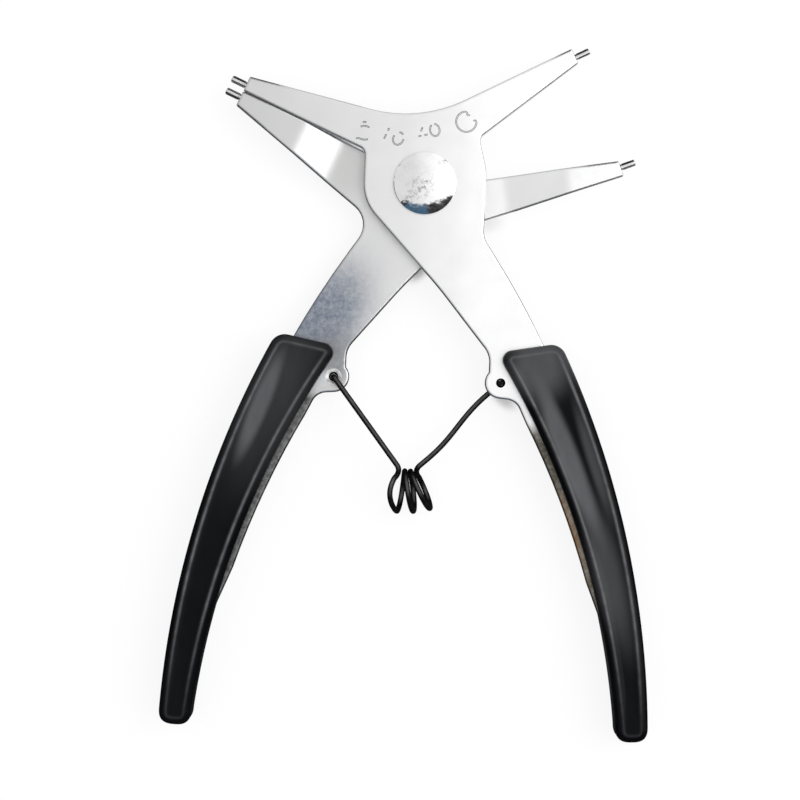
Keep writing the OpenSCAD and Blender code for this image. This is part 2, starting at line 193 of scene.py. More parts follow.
def inset(loop, depth):
    """Anticlockwise outline moved inwards; where a small corner turns over, its points join in one."""
    if depth <= 0:
        return loop.copy()
    ahead = np.roll(loop, -1, axis=0) - loop
    ahead /= np.linalg.norm(ahead, axis=1)[:, None]
    inward = np.stack([-ahead[:, 1], ahead[:, 0]], axis=1)
    before = np.roll(inward, 1, axis=0)
    moved = loop + depth * (inward + before) / (1 + np.sum(inward * before, axis=1))[:, None]
    count = len(loop)
    for _ in range(8):
        turned = np.sum((np.roll(moved, -1, axis=0) - moved) * ahead, axis=1) < -1e-9
        if not turned.any():
            break
        for i in np.nonzero(turned & ~np.roll(turned, 1))[0]:
            j = i
            while turned[(j + 1) % count]:
                j += 1
            a, b = (i - 1) % count, (j + 1) % count
            p, q = loop[a] + depth * inward[a], loop[b] + depth * inward[b]
            bend = cross(ahead[a], ahead[b])
            if abs(bend) < 1e-6:
                meet = (moved[i] + moved[b]) / 2
            else:
                meet = p + ahead[a] * cross(q - p, ahead[b]) / bend
            for k in range(i, j + 2):
                moved[k % count] = meet
    return moved


def inside(points, loop):
    """Which points lie inside a closed outline."""
    hit = np.zeros(len(points), bool)
    for p, q in sides_of(loop):
        spans = (p[1] > points[:, 1]) != (q[1] > points[:, 1])
        if p[1] != q[1]:
            hit ^= spans & (points[:, 0] < (q[0] - p[0]) * (points[:, 1] - p[1]) / (q[1] - p[1]) + p[0])
    return hit


def distance(points, loop):
    """Distance of each point from a closed outline."""
    best = np.full(len(points), 1e9)
    for p, q in sides_of(loop):
        run = q - p
        t = np.clip(((points - p) @ run) / max(run @ run, 1e-12), 0, 1)
        best = np.minimum(best, np.linalg.norm(points - p - t[:, None] * run, axis=1))
    return best


def rounded_corner(before, at, after, radius, steps=10):
    """Points of the arc that rounds one corner."""
    u, v = unit(before - at), unit(after - at)
    half = math.acos(float(np.clip(u @ v, -1, 1))) / 2
    centre = at + unit(u + v) * radius / math.sin(half)
    first = at + u * radius / math.tan(half) - centre
    sweep = math.copysign(math.pi - 2 * half, cross(v, u))
    angles = [sweep * k / steps for k in range(steps + 1)]
    return [centre + rotate(first, math.cos(a), math.sin(a)) for a in angles]


def circle(centre, radius, sides=HOLE_SIDES):
    """Points round a circle."""
    return np.array([np.asarray(centre) + radius * aim(360 * k / sides) for k in range(sides)])


def flat_fill(outer, holes, extra):
    """Triangles that fill an outline round its holes, numbered through outline, holes and extra points."""
    loops = [outer, *holes]
    points = np.vstack([*loops, *([np.array(extra)] if len(extra) else [])])
    edges, start = [], 0
    for loop in loops:
        edges += [(start + i, start + (i + 1) % len(loop)) for i in range(len(loop))]
        start += len(loop)
    places, _, faces, origin, _, _ = delaunay_2d_cdt([Vector(p) for p in points], edges, [], 0, 1e-7)
    middle = np.array([np.mean([places[v] for v in f], axis=0) for f in faces])
    keep = inside(middle, outer)
    for hole in holes:
        keep &= ~inside(middle, hole)
    return [[origin[v][0] for v in f] for f, wanted in zip(faces, keep) if wanted]


class Shell:
    """Points and faces of one piece while it is made, in millimetres."""

    def __init__(self):
        self.points = []
        self.faces = []
        self.finish = []
        self.rub = []

    def ring(self, plan, height):
        """Adds points and returns their numbers."""
        first = len(self.points)
        height = np.broadcast_to(height, (len(plan),))
        self.points += [(p[0], p[1], z) for p, z in zip(plan, height)]
        return list(range(first, len(self.points)))

    def face(self, corners, finish=0):
        self.faces.append(tuple(corners))
        self.finish.append(finish)

    def strip(self, low, high, finish=0):
        """Closed band of faces between two rings."""
        for i in range(len(low)):
            j = (i + 1) % len(low)
            self.face((low[i], low[j], high[j], high[i]), finish)

    def fill(self, loops, extra=()):
        """Fills the first ring round the others, with extra points inside it."""
        plan = [p[:2] for p in self.points]
        rings = [[n for n, last in zip(ring, [ring[-1], *ring]) if math.dist(plan[n], plan[last]) > 1e-6]
                 for ring in loops]
        outer, *holes = [np.array([plan[n] for n in ring]) for ring in rings]
        numbers = [n for ring in rings for n in ring] + list(extra)
        for triangle in flat_fill(outer, holes, [plan[n] for n in extra]):
            self.face([numbers[v] for v in triangle])

    def turned_over(self):
        """The same shell turned over about the Y axis at the middle of the thickness."""
        other = Shell()
        other.points = [(-x, y, GRIP_T - z) for x, y, z in self.points]
        other.faces, other.finish, other.rub = list(self.faces), list(self.finish), list(self.rub)
        return other

    def mesh(self, name, materials, sharp):
        """Closed mesh in metres, smooth except at sharp edges."""
        mesh = bpy.data.meshes.new(name)
        mesh.from_pydata([(x * MM, y * MM, z * MM) for x, y, z in self.points], [], self.faces)
        mesh.polygons.foreach_set("material_index", self.finish)
        for material in materials:
            mesh.materials.append(material)
        if self.rub:
            mesh.attributes.new("rub", "FLOAT", "POINT").data.foreach_set("value", self.rub)
        tidy_mesh(mesh, sharp)
        return mesh


def tidy_mesh(mesh, sharp):
    """Joins doubled points, turns faces outwards and marks the sharp edges."""
    bm = bmesh.new()
    bm.from_mesh(mesh)
    bmesh.ops.remove_doubles(bm, verts=bm.verts, dist=2e-7)
    bmesh.ops.dissolve_degenerate(bm, edges=bm.edges, dist=1e-8)
    bmesh.ops.recalc_face_normals(bm, faces=bm.faces)
    for face in bm.faces:
        face.smooth = True
    for edge in bm.edges:
        edge.smooth = len(edge.link_faces) == 2 and edge.calc_face_angle(0) < math.radians(sharp)
    bm.to_mesh(mesh)
    bm.free()


def place(mesh, body, slot, *nodes):
    """Links a finished mesh as a piece that rides on a body and stands for CAD nodes."""
    piece = bpy.data.objects.new(mesh.name, mesh)
    bpy.context.scene.collection.objects.link(piece)
    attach(piece, body)
    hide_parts(*nodes)


def lathe(profile, sides=LATHE_SIDES):
    """Shell turned about Z from (radius, height) pairs; the first and last lie on the axis."""
    shell = Shell()
    ends = [shell.ring([(0, 0)], profile[k][1])[0] for k in (0, -1)]
    rings = [shell.ring(circle((0, 0), r, sides), z) for r, z in profile[1:-1]]
    for low, high in zip(rings, rings[1:]):
        shell.strip(low, high)
    for i in range(sides):
        j = (i + 1) % sides
        shell.face((ends[0], rings[0][j], rings[0][i]))
        shell.face((ends[1], rings[-1][i], rings[-1][j]))
    return shell


# Materials


def connect(tree, made, inputs):
    """Links or sets a node's inputs."""
    for key, value in inputs.items():
        if isinstance(value, bpy.types.NodeSocket):
            tree.links.new(value, made.inputs[key])
        else:
            made.inputs[key].default_value = value


def node(tree, kind, inputs=None, **settings):
    """Adds a node, sets its options and links or sets its inputs."""
    made = tree.nodes.new(kind)
    for key, value in settings.items():
        setattr(made, key, value)
    connect(tree, made, inputs or {})
    return made


def own_place(tree):
    """The piece's own coordinates."""
    return node(tree, "ShaderNodeTexCoord").outputs["Object"]


def grain(tree, scale, detail, rough=0.5, stretch=(1, 1, 1)):
    """Noise over the piece's own coordinates, with its pattern stretched."""
    mapping = node(tree, "ShaderNodeMapping", {"Vector": own_place(tree), "Scale": stretch})
    noise = node(tree, "ShaderNodeTexNoise", {
        "Vector": mapping.outputs["Vector"], "Scale": scale, "Detail": detail, "Roughness": rough})
    return noise.outputs["Fac"]


def span(tree, value, low, high, to_low, to_high, shape="LINEAR"):
    """Maps a value from one range to another."""
    mapped = node(tree, "ShaderNodeMapRange", {
        "Value": value, "From Min": low, "From Max": high, "To Min": to_low, "To Max": to_high},
        interpolation_type=shape)
    return mapped.outputs["Result"]


def calculate(tree, operation, first, second):
    """Result of one sum on two values."""
    return node(tree, "ShaderNodeMath", {0: first, 1: second}, operation=operation).outputs["Value"]


def product(tree, first, second):
    """Product of two values."""
    return calculate(tree, "MULTIPLY", first, second)


def blend_colour(tree, share, first, second, how="MIX"):
    """Mixes two colours by a share from 0 to 1."""
    first, second = (c if isinstance(c, bpy.types.NodeSocket) else (*c, 1.0) for c in (first, second))
    mix = node(tree, "ShaderNodeMix", {"Factor": share, 6: first, 7: second},
               data_type="RGBA", blend_type=how)
    return mix.outputs[2]


def spot(tree, place_mm, reach_mm, turn, core=0.0):
    """Soft oval patch in plan: 1 over its core, falling to 0 at its reach; its long side may be turned."""
    away = node(tree, "ShaderNodeVectorMath", {0: own_place(tree), 1: [c * MM for c in (*place_mm, 0)]},
                operation="SUBTRACT").outputs["Vector"]
    turned = node(tree, "ShaderNodeVectorRotate", {"Vector": away, "Angle": -math.radians(turn)},
                  rotation_type="Z_AXIS").outputs["Vector"]
    scale = (1 / (reach_mm[0] * MM), 1 / (reach_mm[1] * MM), 0)
    scaled = node(tree, "ShaderNodeVectorMath", {0: turned, 1: scale}, operation="MULTIPLY").outputs["Vector"]
    length = node(tree, "ShaderNodeVectorMath", {0: scaled}, operation="LENGTH").outputs["Value"]
    return span(tree, length, core, 1.0, 1.0, 0.0, "SMOOTHERSTEP")


def across_piece(tree, stops):
    """Tone along X from (place in millimetres, tone) stops."""
    x = node(tree, "ShaderNodeSeparateXYZ", {"Vector": own_place(tree)}).outputs["X"]
    low, high = stops[0][0], stops[-1][0]
    ramp_node = node(tree, "ShaderNodeValToRGB", {"Fac": span(tree, x, low * MM, high * MM, 0, 1)})
    points = ramp_node.color_ramp.elements
    while len(points) < len(stops):
        points.new(0.5)
    for point, (where, tone) in zip(points, stops):
        point.position = (where - low) / (high - low)
        point.color = (tone, tone, tone, 1)
    return ramp_node.outputs["Color"]


def new_material(name):
    """Material with its tree and its main shader."""
    material = bpy.data.materials.new(name)
    material.use_nodes = True
    return material, material.node_tree, material.node_tree.nodes["Principled BSDF"]


def surface_grain(tree, scale, detail, strength, depth_mm):
    """Normal of a surface with fine relief."""
    bump = node(tree, "ShaderNodeBump", {
        "Height": grain(tree, scale, detail), "Strength": strength, "Distance": depth_mm * MM})
    return bump.outputs["Normal"]


def painted_highlight_share(tree):
    """Share of the painted highlight at each place, from 0 to 1."""
    return node(tree, "ShaderNodeAttribute", attribute_name="rub").outputs["Fac"]


def shaded(colour, share):
    """The same colour, darker or paler."""
    return [share * c for c in colour]


# Darker patches on the plates, mostly painted shade beside the grips, by the left lug and where the rear arm
# meets the front plate: place, reach, turn, core, colour, strength and mottle
FRONT_DARK_PATCHES = (
    # Painted shade on the tang beside the right grip
    ((45.0, -96.0), (17, 40.5), 25.0, 0.86, (0.105, 0.088, 0.062), 1.0, 0.25),
    # Brown streak along that strip of the tang
    ((39.0, -86.0), (4, 19), 23.0, 0.1, (0.26, 0.135, 0.045), 0.9, 0.4),
    # Painted shade at the top of that strip, by the grip
    ((33.5, -70.6), (4, 13), 24.7, 0.3, (0.050, 0.047, 0.033), 0.7, 0.3),
)
REAR_DARK_PATCHES = (
    # Darker blue-grey patch over the rear tang
    ((-25.0, -35.5), (17, 27), -31.0, 0.12, (0.135, 0.165, 0.225), 0.95, 0.35),
    # Painted shade over the left lug, darker towards the grip
    ((-21.2, -45.2), (10, 11), -20.0, 0.1, (0.24, 0.245, 0.26), 0.85, 0.25),
    # Painted shade on the rear external arm's root beside the front plate
    ((-20.0, 4.0), (10, 13), 0.0, 0.2, (0.46, 0.46, 0.45), 0.4, 0.1),
    # Painted shade on the tang beside the left grip
    ((-42.0, -93.0), (18, 43), -25.0, 0.92, (0.085, 0.085, 0.085), 1.0, 0.3),
)
# Painted light across the plates, brighter towards the right where the light comes from: place along X and
# share of the colour
PAINTED_PLATE_LIGHT = ((-50, 0.80), (-5, 0.93), (14, 1.12))
# Dark mottled patches on the rivet's dome, the first a painted reflection of the camera in its middle: place,
# reach, turn and share of the colour
RIVET_SPECKS_AND_CAMERA_REFLECTION = (
    # Painted reflection of the camera, mottled grey in the middle of the dome
    ((-0.6, -1.0), (5.8, 4.6), 40.0, 0.18),
    ((4.4, 5.6), (2.0, 1.4), 30.0, 0.18),
    ((-3.4, -3.6), (3.4, 2.6), 20.0, 0.45),
)
# Painted soft sheen highlights on the grips' faces: place, reach, turn, core and strength
PAINTED_SHEEN_PLACES = (
    ((-34.8, -54.2), (14.0, 42.0), -22.0, 0.0, 0.30),
    ((-39.6, -58.2), (3.2, 20.0), -20.2, 0.3, 1.0),
    ((31.2, -45.2), (12.0, 13.0), 24.0, 0.2, 0.7),
    ((39.1, -68.0), (3.7, 30.0), 23.7, 0.3, 1.0),
    ((45.4, -68.8), (2.2, 24.0), 19.9, 0.1, 0.5),
    ((50.7, -98.0), (6.0, 30.0), 16.0, 0.1, 0.5),
)


def lay_dark_patches(tree, colour, dark_patches):
    """Lays soft darker patches over a colour, mostly painted shade."""
    for where, reach, turn, core, tint, share, mottled in dark_patches:
        mottle = span(tree, grain(tree, 700.0, 6.0, 0.75), 0.36, 0.62, 1.0 - mottled, 1.0)
        patch = product(tree, spot(tree, where, reach, turn, core), mottle)
        colour = blend_colour(tree, product(tree, patch, share), colour, tint)
    return colour


def plated_steel(name, settings, tone, dark_patches):
    """Satin nickel plate with painted light that brightens it towards the right, cloudy tone, fine grain and
    soft darker patches, mostly painted shade.
    """
    material, tree, shader = new_material(name)
    # Painted light: the plate's colour grows paler from left to right, the way the light falls
    painted_sheen = across_piece(tree, [(x, tone * level) for x, level in PAINTED_PLATE_LIGHT])
    plate = blend_colour(tree, 1.0, painted_sheen, settings.colour, "MULTIPLY")
    cloud = span(tree, grain(tree, 90.0, 4.0, 0.6), 0.38, 0.62, 0.0, 0.05)
    low, high = settings.roughness - 0.06, settings.roughness + 0.06
    connect(tree, shader, {
        "Base Color": lay_dark_patches(tree, blend_colour(tree, cloud, plate, (0.5, 0.5, 0.5)), dark_patches),
        "Roughness": span(tree, grain(tree, 160.0, 5.0), 0.3, 0.7, low, high),
        "Metallic": settings.metal,
        "Normal": surface_grain(tree, 2600.0, 2.0, 0.10, 0.03)})
    return material


def sheared_edge(name, colour, dark_patches):
    """Dull edge of a stamped plate, with the faint lines of the shear."""
    material, tree, shader = new_material(name)
    lines = span(tree, grain(tree, 1200.0, 3.0, 0.6, (1, 1, 0.2)), 0.35, 0.65, 0.0, 1.0)
    connect(tree, shader, {
        "Base Color": lay_dark_patches(tree, blend_colour(tree, lines, shaded(colour, 0.85), colour), dark_patches),
        "Roughness": span(tree, lines, 0.0, 1.0, 0.26, 0.36),
        "Metallic": 0.92})
    return material


def stamped_line(name, colour, metal=0.3, rough=0.7):
    """Wall of a stamped line, a bore or a countersink."""
    material, tree, shader = new_material(name)
    worn = span(tree, grain(tree, 900.0, 4.0), 0.35, 0.65, 0.0, 1.0)
    connect(tree, shader, {
        "Base Color": blend_colour(tree, worn, shaded(colour, 0.5), colour),
        "Roughness": rough, "Metallic": metal, "Specular IOR Level": 0.1})
    return material


def polished_plate(name, settings):
    """Polished nickel plate with faint smudges, specks and a painted reflection of the camera in the middle of
    the dome.
    """
    material, tree, shader = new_material(name)
    smudge = span(tree, grain(tree, 420.0, 6.0, 0.65), 0.42, 0.68, 0.0, 1.0)
    colour = blend_colour(tree, smudge, settings.colour, shaded(settings.colour, 0.92))
    specks = span(tree, grain(tree, 900.0, 6.0, 0.75), 0.48, 0.66, 0.0, 1.0)
    for where, reach, turn, dark in RIVET_SPECKS_AND_CAMERA_REFLECTION:
        patch = product(tree, spot(tree, where, reach, turn), specks)
        colour = blend_colour(tree, patch, colour, shaded(settings.colour, dark))
    connect(tree, shader, {
        "Base Color": colour, "Metallic": 1.0,
        "Roughness": span(tree, smudge, 0.0, 1.0, settings.roughness, settings.roughness + 0.12)})
    return material


def turned_steel(name, settings):
    """Bright turned steel of the tip pins, with darker bands."""
    material, tree, shader = new_material(name)
    band = span(tree, grain(tree, 1500.0, 3.0), 0.35, 0.65, 0.0, 1.0)
    connect(tree, shader, {
        "Base Color": blend_colour(tree, band, settings.colour, shaded(settings.colour, 0.7)),
        "Roughness": span(tree, band, 0.0, 1.0, 0.1, 0.2), "Metallic": 1.0})
    return material


def black_wire(name, settings):
    """Blackened spring wire with a painted highlight along its upper side."""
    material, tree, shader = new_material(name)
    worn = span(tree, grain(tree, 700.0, 4.0), 0.4, 0.7, 0.0, 1.0)
    colour = blend_colour(tree, worn, settings.colour, shaded(settings.colour, 2.2))
    # Painted highlight on the wire's upper side
    top_highlight = product(tree, painted_highlight_share(tree), span(tree, worn, 0.0, 1.0, 0.6, 1.0))
    connect(tree, shader, {
        "Base Color": blend_colour(tree, top_highlight, colour, settings.top_highlight),
        "Roughness": span(tree, worn, 0.0, 1.0, 0.3, 0.45), "Specular IOR Level": 0.1,
        "Normal": surface_grain(tree, 3000.0, 2.0, 0.12, 0.02)})
    return material


def glossy_vinyl(name, settings):
    """Glossy near-black moulding with painted highlights along its ridges, painted soft sheen highlights on
    its faces and handling haze.
    """
    material, tree, shader = new_material(name)
    haze = span(tree, grain(tree, 60.0, 5.0, 0.6), 0.4, 0.7, 0.0, 1.0)
    colour = blend_colour(tree, haze, settings.colour, shaded(settings.colour, 1.6))
    # Painted sheen highlights, streaked along the grip
    streaks = span(tree, grain(tree, 140.0, 5.0, 0.6, (1, 0.25, 1)), 0.3, 0.7, 0.75, 1.0)
    for where, reach, turn, core, share in PAINTED_SHEEN_PLACES:
        patch = product(tree, product(tree, spot(tree, where, reach, turn, core), streaks), share)
        colour = blend_colour(tree, patch, colour, settings.painted_sheen)
    # Painted highlight along the creased ridges
    worn = product(tree, painted_highlight_share(tree), span(tree, grain(tree, 300.0, 4.0), 0.3, 0.7, 0.5, 1.0))
    connect(tree, shader, {
        "Base Color": blend_colour(tree, worn, colour, settings.ridge_highlight),
        "Roughness": span(tree, haze, 0.0, 1.0, settings.roughness, settings.roughness + 0.08),
        "Specular IOR Level": settings.gloss,
        "Normal": surface_grain(tree, 1400.0, 3.0, 0.05, 0.02)})
    return material


# Levers


def plan_outline(node_name):
    """Outer outline of a lever's upper faces in plan, anticlockwise from its leftmost point."""
    bm = bmesh.new()
    bm.from_mesh(frame["nodes"][node_name].data)
    bmesh.ops.remove_doubles(bm, verts=bm.verts, dist=1e-6)
    bm.normal_update()
    faces = [f for f in bm.faces if f.normal.z > 0.8]
    upper = set(faces)
    follow = {}
    for face in faces:
        for corner in face.loops:
            if sum(f in upper for f in corner.edge.link_faces) == 1:
                follow[corner.vert] = corner.link_loop_next.vert
    loops = []
    while follow:
        start, at = follow.popitem()
        loop = [start]
        while at is not start:
            loop.append(at)
            at = follow.pop(at)
        loops.append(np.array([(v.co.x / MM, v.co.y / MM) for v in loop]))
    bm.free()
    outer = max(loops, key=lambda loop: np.ptp(loop[:, 0]) * np.ptp(loop[:, 1]))
    return np.roll(outer, -int(np.argmin(outer[:, 0])), axis=0)


def ramp(s, start, end, soften=1.0):
    """Height of a rise from 0 to RISE between two distances, with softened ends."""

    def corner(u):
        return np.where(u > soften, u, np.where(u > -soften, (u + soften) ** 2 / (4 * soften), 0))

    return RISE / (end - start) * (corner(s - start) - corner(s - end))


def rear_height(plan, upper):
    """Height of the rear lever's upper or lower face, with its two risen arms."""
    plan = np.asarray(plan)
    height = np.full(len(plan), REAR_Z + (PLATE_T if upper else 0))
    for angle, (start, end) in ARMS:
        slope = math.atan(RISE / (end - start))
        shift = PLATE_T * math.tan(slope / 2) if upper else 0
        height += ramp(plan @ aim(angle), start - shift, end - shift)
    return height


def front_height(plan, upper):
    """Height of the front lever's flat faces."""
    return np.full(len(plan), FRONT_Z + (PLATE_T if upper else 0))


def bend_points(edge):
    """Points inside the rear lever's arms, close together where the arms bend."""
    out = []
    for angle, (start, end) in ARMS:
        along, side = aim(angle), aim(angle + 90)
        for s in np.arange(start - 2.5, end + 2.5, 0.5):
            out += [s * along + w * side for w in np.arange(-14, 14, 1.0)]
    out = np.array(out)
    return out[inside(out, edge) & (distance(out, edge) > 0.4)]


def stroke(path, width, shorten=0.0):
    """Closed outline of a line of some width along a path, shortened at both ends."""
    path = np.array(path, float)
    run = np.gradient(path, axis=0)
    run /= np.linalg.norm(run, axis=1)[:, None]
    path[0] += run[0] * shorten
    path[-1] -= run[-1] * shorten
    side = np.stack([-run[:, 1], run[:, 0]], axis=1) * width / 2
    return np.vstack([path + side, (path - side)[::-1]])


def arc_path(radius, start, end, squeeze, steps):
    """Points of an arc about the origin, squeezed in width."""
    return [np.array([x * squeeze, y]) for x, y in arc(radius, start, end, steps)]


# Floor of a stamped line: its width, and how far its ends stand back, as shares of the line's width
FLOOR_WIDTH = 0.36
FLOOR_SHORT = 0.3


def stamped_marks(line):
    """Mouth and floor outlines of the stamped size numbers and ring symbols on the front lever."""
    nought = [arc_path(1.55, 118, 440, 0.78, 30)]
    lower_nought = [arc_path(1.65, 170, 375, 0.78, 20), arc_path(1.65, 60, 110, 0.78, 8)]
    one = [[(0, -1.6), (0, -1.0), (0, -0.35)], [(0.0, 0.7), (0.0, 1.0), (0.0, 1.4)]]
    four = [
        [(0.35, 1.4), (0.05, 0.95), (-0.25, 0.5)],
        [(-1.1, -0.62), (-0.75, -0.62), (-0.35, -0.62)],
        [(0.45, -0.62), (0.85, -0.62), (1.25, -0.62)],
    ]
    inner_ring = [
        [(0.72, 1.86), (0.62, 1.66), (0.40, 1.60), (0.20, 1.74), (0.14, 2.02), (0.02, 2.34), (-0.22, 2.54)]
        + arc_path(2.6, 104, 346, 1.0, 36)
        + [(2.58, -0.24), (2.54, 0.16), (2.34, 0.42), (2.04, 0.42), (1.88, 0.22)]
    ]
    outer_ring = [
        [(-1.1, 1.1), (-0.4, 1.3), (0.4, 1.25), (1.1, 0.95)],
        [(-0.6, 2.2), (-0.2, 2.35), (0.3, 2.2)],
        [(-2.2, -2.0), (-1.6, -1.85), (-0.9, -2.1), (0.0, -2.25), (0.8, -2.05)],
    ]
    placed = [
        (outer_ring, (-15.8, 12.7), 0.0),
        (one, (-10.2, 12.4), -23.5),
        (lower_nought, (-7.2, 11.1), -23.5),
        (four, (-1.15, 12.75), 14.0),
        (nought, (2.0, 13.65), 14.0),
        (inner_ring, (9.95, 16.1), 0.0),
    ]
    marks = []
    for paths, centre, turn in placed:
        c, s = aim(turn)
        for path in paths:
            points = [rotate(p, c, s) + centre for p in path]
            marks.append((stroke(points, line), stroke(points, FLOOR_WIDTH * line, FLOOR_SHORT * line)))
    return marks


def lever_shell(outline, height, holes, marks, settings):
    """Plate with rounded edges, drilled holes and stamped marks in its upper face."""
    shell = Shell()
    radius = settings.edge / MM
    turns = [math.pi / 2 * k / ROUND_STEPS for k in range(ROUND_STEPS + 1)]
    levels = [(radius * (1 - math.cos(t)), radius * (1 - math.sin(t))) for t in turns]
    levels.append((radius + GUARD, 0.0))
    plans = [inset(outline, depth) for depth, _ in levels]
    upper = [shell.ring(plan, height(plan, True) - drop) for plan, (_, drop) in zip(plans, levels)]
    lower = [shell.ring(plan, height(plan, False) + drop) for plan, (_, drop) in zip(plans, levels)]
    shell.strip(lower[0], upper[0], SHEARED)
    for k in range(len(levels) - 1):
        finish = SHEARED if k < SHEARED_STEPS else PLATED
        shell.strip(upper[k], upper[k + 1], finish)
        shell.strip(lower[k + 1], lower[k], finish)
    mouths, feet = [], []
    for centre, mouth_finish, steps in holes:
        rings = []
        for hole_r, from_top, drop in steps:
            plan = circle(centre, hole_r)
            rings.append(shell.ring(plan, height(plan, from_top) - drop))
        for k in range(len(rings) - 1):
            shell.strip(rings[k], rings[k + 1], DRILLED if k else mouth_finish)
        mouths.append(rings[0])
        feet.append(rings[-1])
    for mouth, bed in marks:
        top = shell.ring(mouth, height(mouth, True))
        floor = shell.ring(bed, height(bed, True) - settings.mark_depth / MM)
        shell.strip(top, floor, STAMPED)
        shell.fill([floor])
        mouths.append(top)
    for rings, is_upper, gaps in ((upper, True, mouths), (lower, False, feet)):
        grid = bend_points(plans[-1]) if height is rear_height else []
        extra = shell.ring(grid, height(grid, is_upper)) if len(grid) else []
        shell.fill([rings[-1], *gaps], extra)
    return shell


class LeverSettings(bpy.types.PropertyGroup):
    """Look of the two plate levers."""

    edge: bpy.props.FloatProperty(
        name="Edge rounding", description="Radius of the plates' stamped edges", default=0.65 * MM,
        min=0.1 * MM, max=1.0 * MM, unit="LENGTH", precision=5)
    mark_depth: bpy.props.FloatProperty(
        name="Mark depth", description="Depth of the stamped marks", default=0.12 * MM, min=0.02 * MM,
        max=0.5 * MM, unit="LENGTH", precision=5)
    mark_line: bpy.props.FloatProperty(
        name="Mark line", description="Width of the stamped lines", default=0.44 * MM, min=0.2 * MM,
        max=0.8 * MM, unit="LENGTH", precision=5)
    colour: bpy.props.FloatVectorProperty(
        name="Plate colour", description="Colour of the nickel plate", size=3, default=(0.80, 0.80, 0.80),
        min=0, max=1, subtype="COLOR")
    edge_colour: bpy.props.FloatVectorProperty(
        name="Edge colour", description="Colour of the sheared edges", size=3, default=(0.56, 0.56, 0.56),
        min=0, max=1, subtype="COLOR")
    mark_colour: bpy.props.FloatVectorProperty(
        name="Mark colour", description="Colour in the stamped marks", size=3, default=(0.07, 0.07, 0.07),
        min=0, max=1, subtype="COLOR")
    roughness: bpy.props.FloatProperty(
        name="Roughness", description="Dullness of the plate", default=0.36, min=0.1, max=0.9,
        subtype="FACTOR")
    metal: bpy.props.FloatProperty(
        name="Metal", description="How metallic the plate looks", default=0.85, min=0, max=1,
        subtype="FACTOR")


class PLIERS_OT_levers(bpy.types.Operator):
    """Make the front and rear levers with rounded edges and stamped marks"""

    bl_idname = "pliers.levers"
    bl_label = "Levers"

    def execute(self, context):
        settings = context.scene.pliers_levers
        mark = stamped_line("Stamped_line", tuple(settings.mark_colour))
        # Painted shade in the spring lugs' holes: near-black walls with no metal and little reflection
        shaded_bore = stamped_line("Drilled_bore", (0.008, 0.008, 0.008), 0.0)
        sink = stamped_line("Countersink", (0.80, 0.80, 0.80), 0.35, 0.45)
        edge_colour = tuple(settings.edge_colour)
        throat = WIRE_R + 0.03
        middle = PLATE_T / 2
        front_holes = (
            ((0, 0), SHEARED, [(PIVOT_HOLE_R, True, 0), (PIVOT_HOLE_R, False, 0)]),
            (LUG, DRILLED, [(LUG_HOLE_R, True, 0), (throat, True, middle), (LUG_HOLE_R, False, -LUG_SINK),
                            (LUG_HOLE_R + LUG_SINK, False, 0)]),
        )
        rear_holes = (
            ((0, 0), SHEARED, [(SHANK_R, True, 0), (SHANK_R, False, 0)]),
            (LEFT_LUG, COUNTERSUNK, [(LUG_HOLE_R + SINK_REACH, True, 0), (LUG_HOLE_R, True, SINK_DEPTH),
                                     (throat, False, -middle), (LUG_HOLE_R, False, 0)]),
        )
        marks = stamped_marks(settings.mark_line / MM)
        for side, tone, dark_patches, height, holes, cuts in (
            ("front", 1.0, FRONT_DARK_PATCHES, front_height, front_holes, marks),
            ("rear", 0.93, REAR_DARK_PATCHES, rear_height, rear_holes, []),
        ):
            steel = plated_steel(side.title() + "_plate", settings, tone, dark_patches)
            shear = sheared_edge(side.title() + "_edge", edge_colour, dark_patches)
            outline = resample(plan_outline(side + "_lever"), OUTLINE_STEP)
            shell = lever_shell(outline, height, holes, cuts, settings)
            mesh = shell.mesh(side + "_lever_plate", [steel, mark, shaded_bore, shear, sink], sharp=22.0)
            place(mesh, side + "_half", "plated_steel", side + "_lever")
        return {"FINISHED"}


# Rivet

# Gap under the domed head, its least height at the rim, and the break of the heads' edges
HEAD_GAP = 0.05
HEAD_MIN = 0.3
HEAD_BREAK = 0.15


class RivetSettings(bpy.types.PropertyGroup):
    """Look of the pivot rivet."""

    dome: bpy.props.FloatProperty(
        name="Dome height", description="Height of the domed head above its rim", default=2.4 * MM,
        min=1 * MM, max=4 * MM, unit="LENGTH", precision=5)
    colour: bpy.props.FloatVectorProperty(
        name="Rivet colour", description="Colour of the polished plate", size=3, default=(0.95, 0.95, 0.95),
        min=0, max=1, subtype="COLOR")
    roughness: bpy.props.FloatProperty(
        name="Roughness", description="Dullness of the polish", default=0.05, min=0, max=0.5,
        subtype="FACTOR")


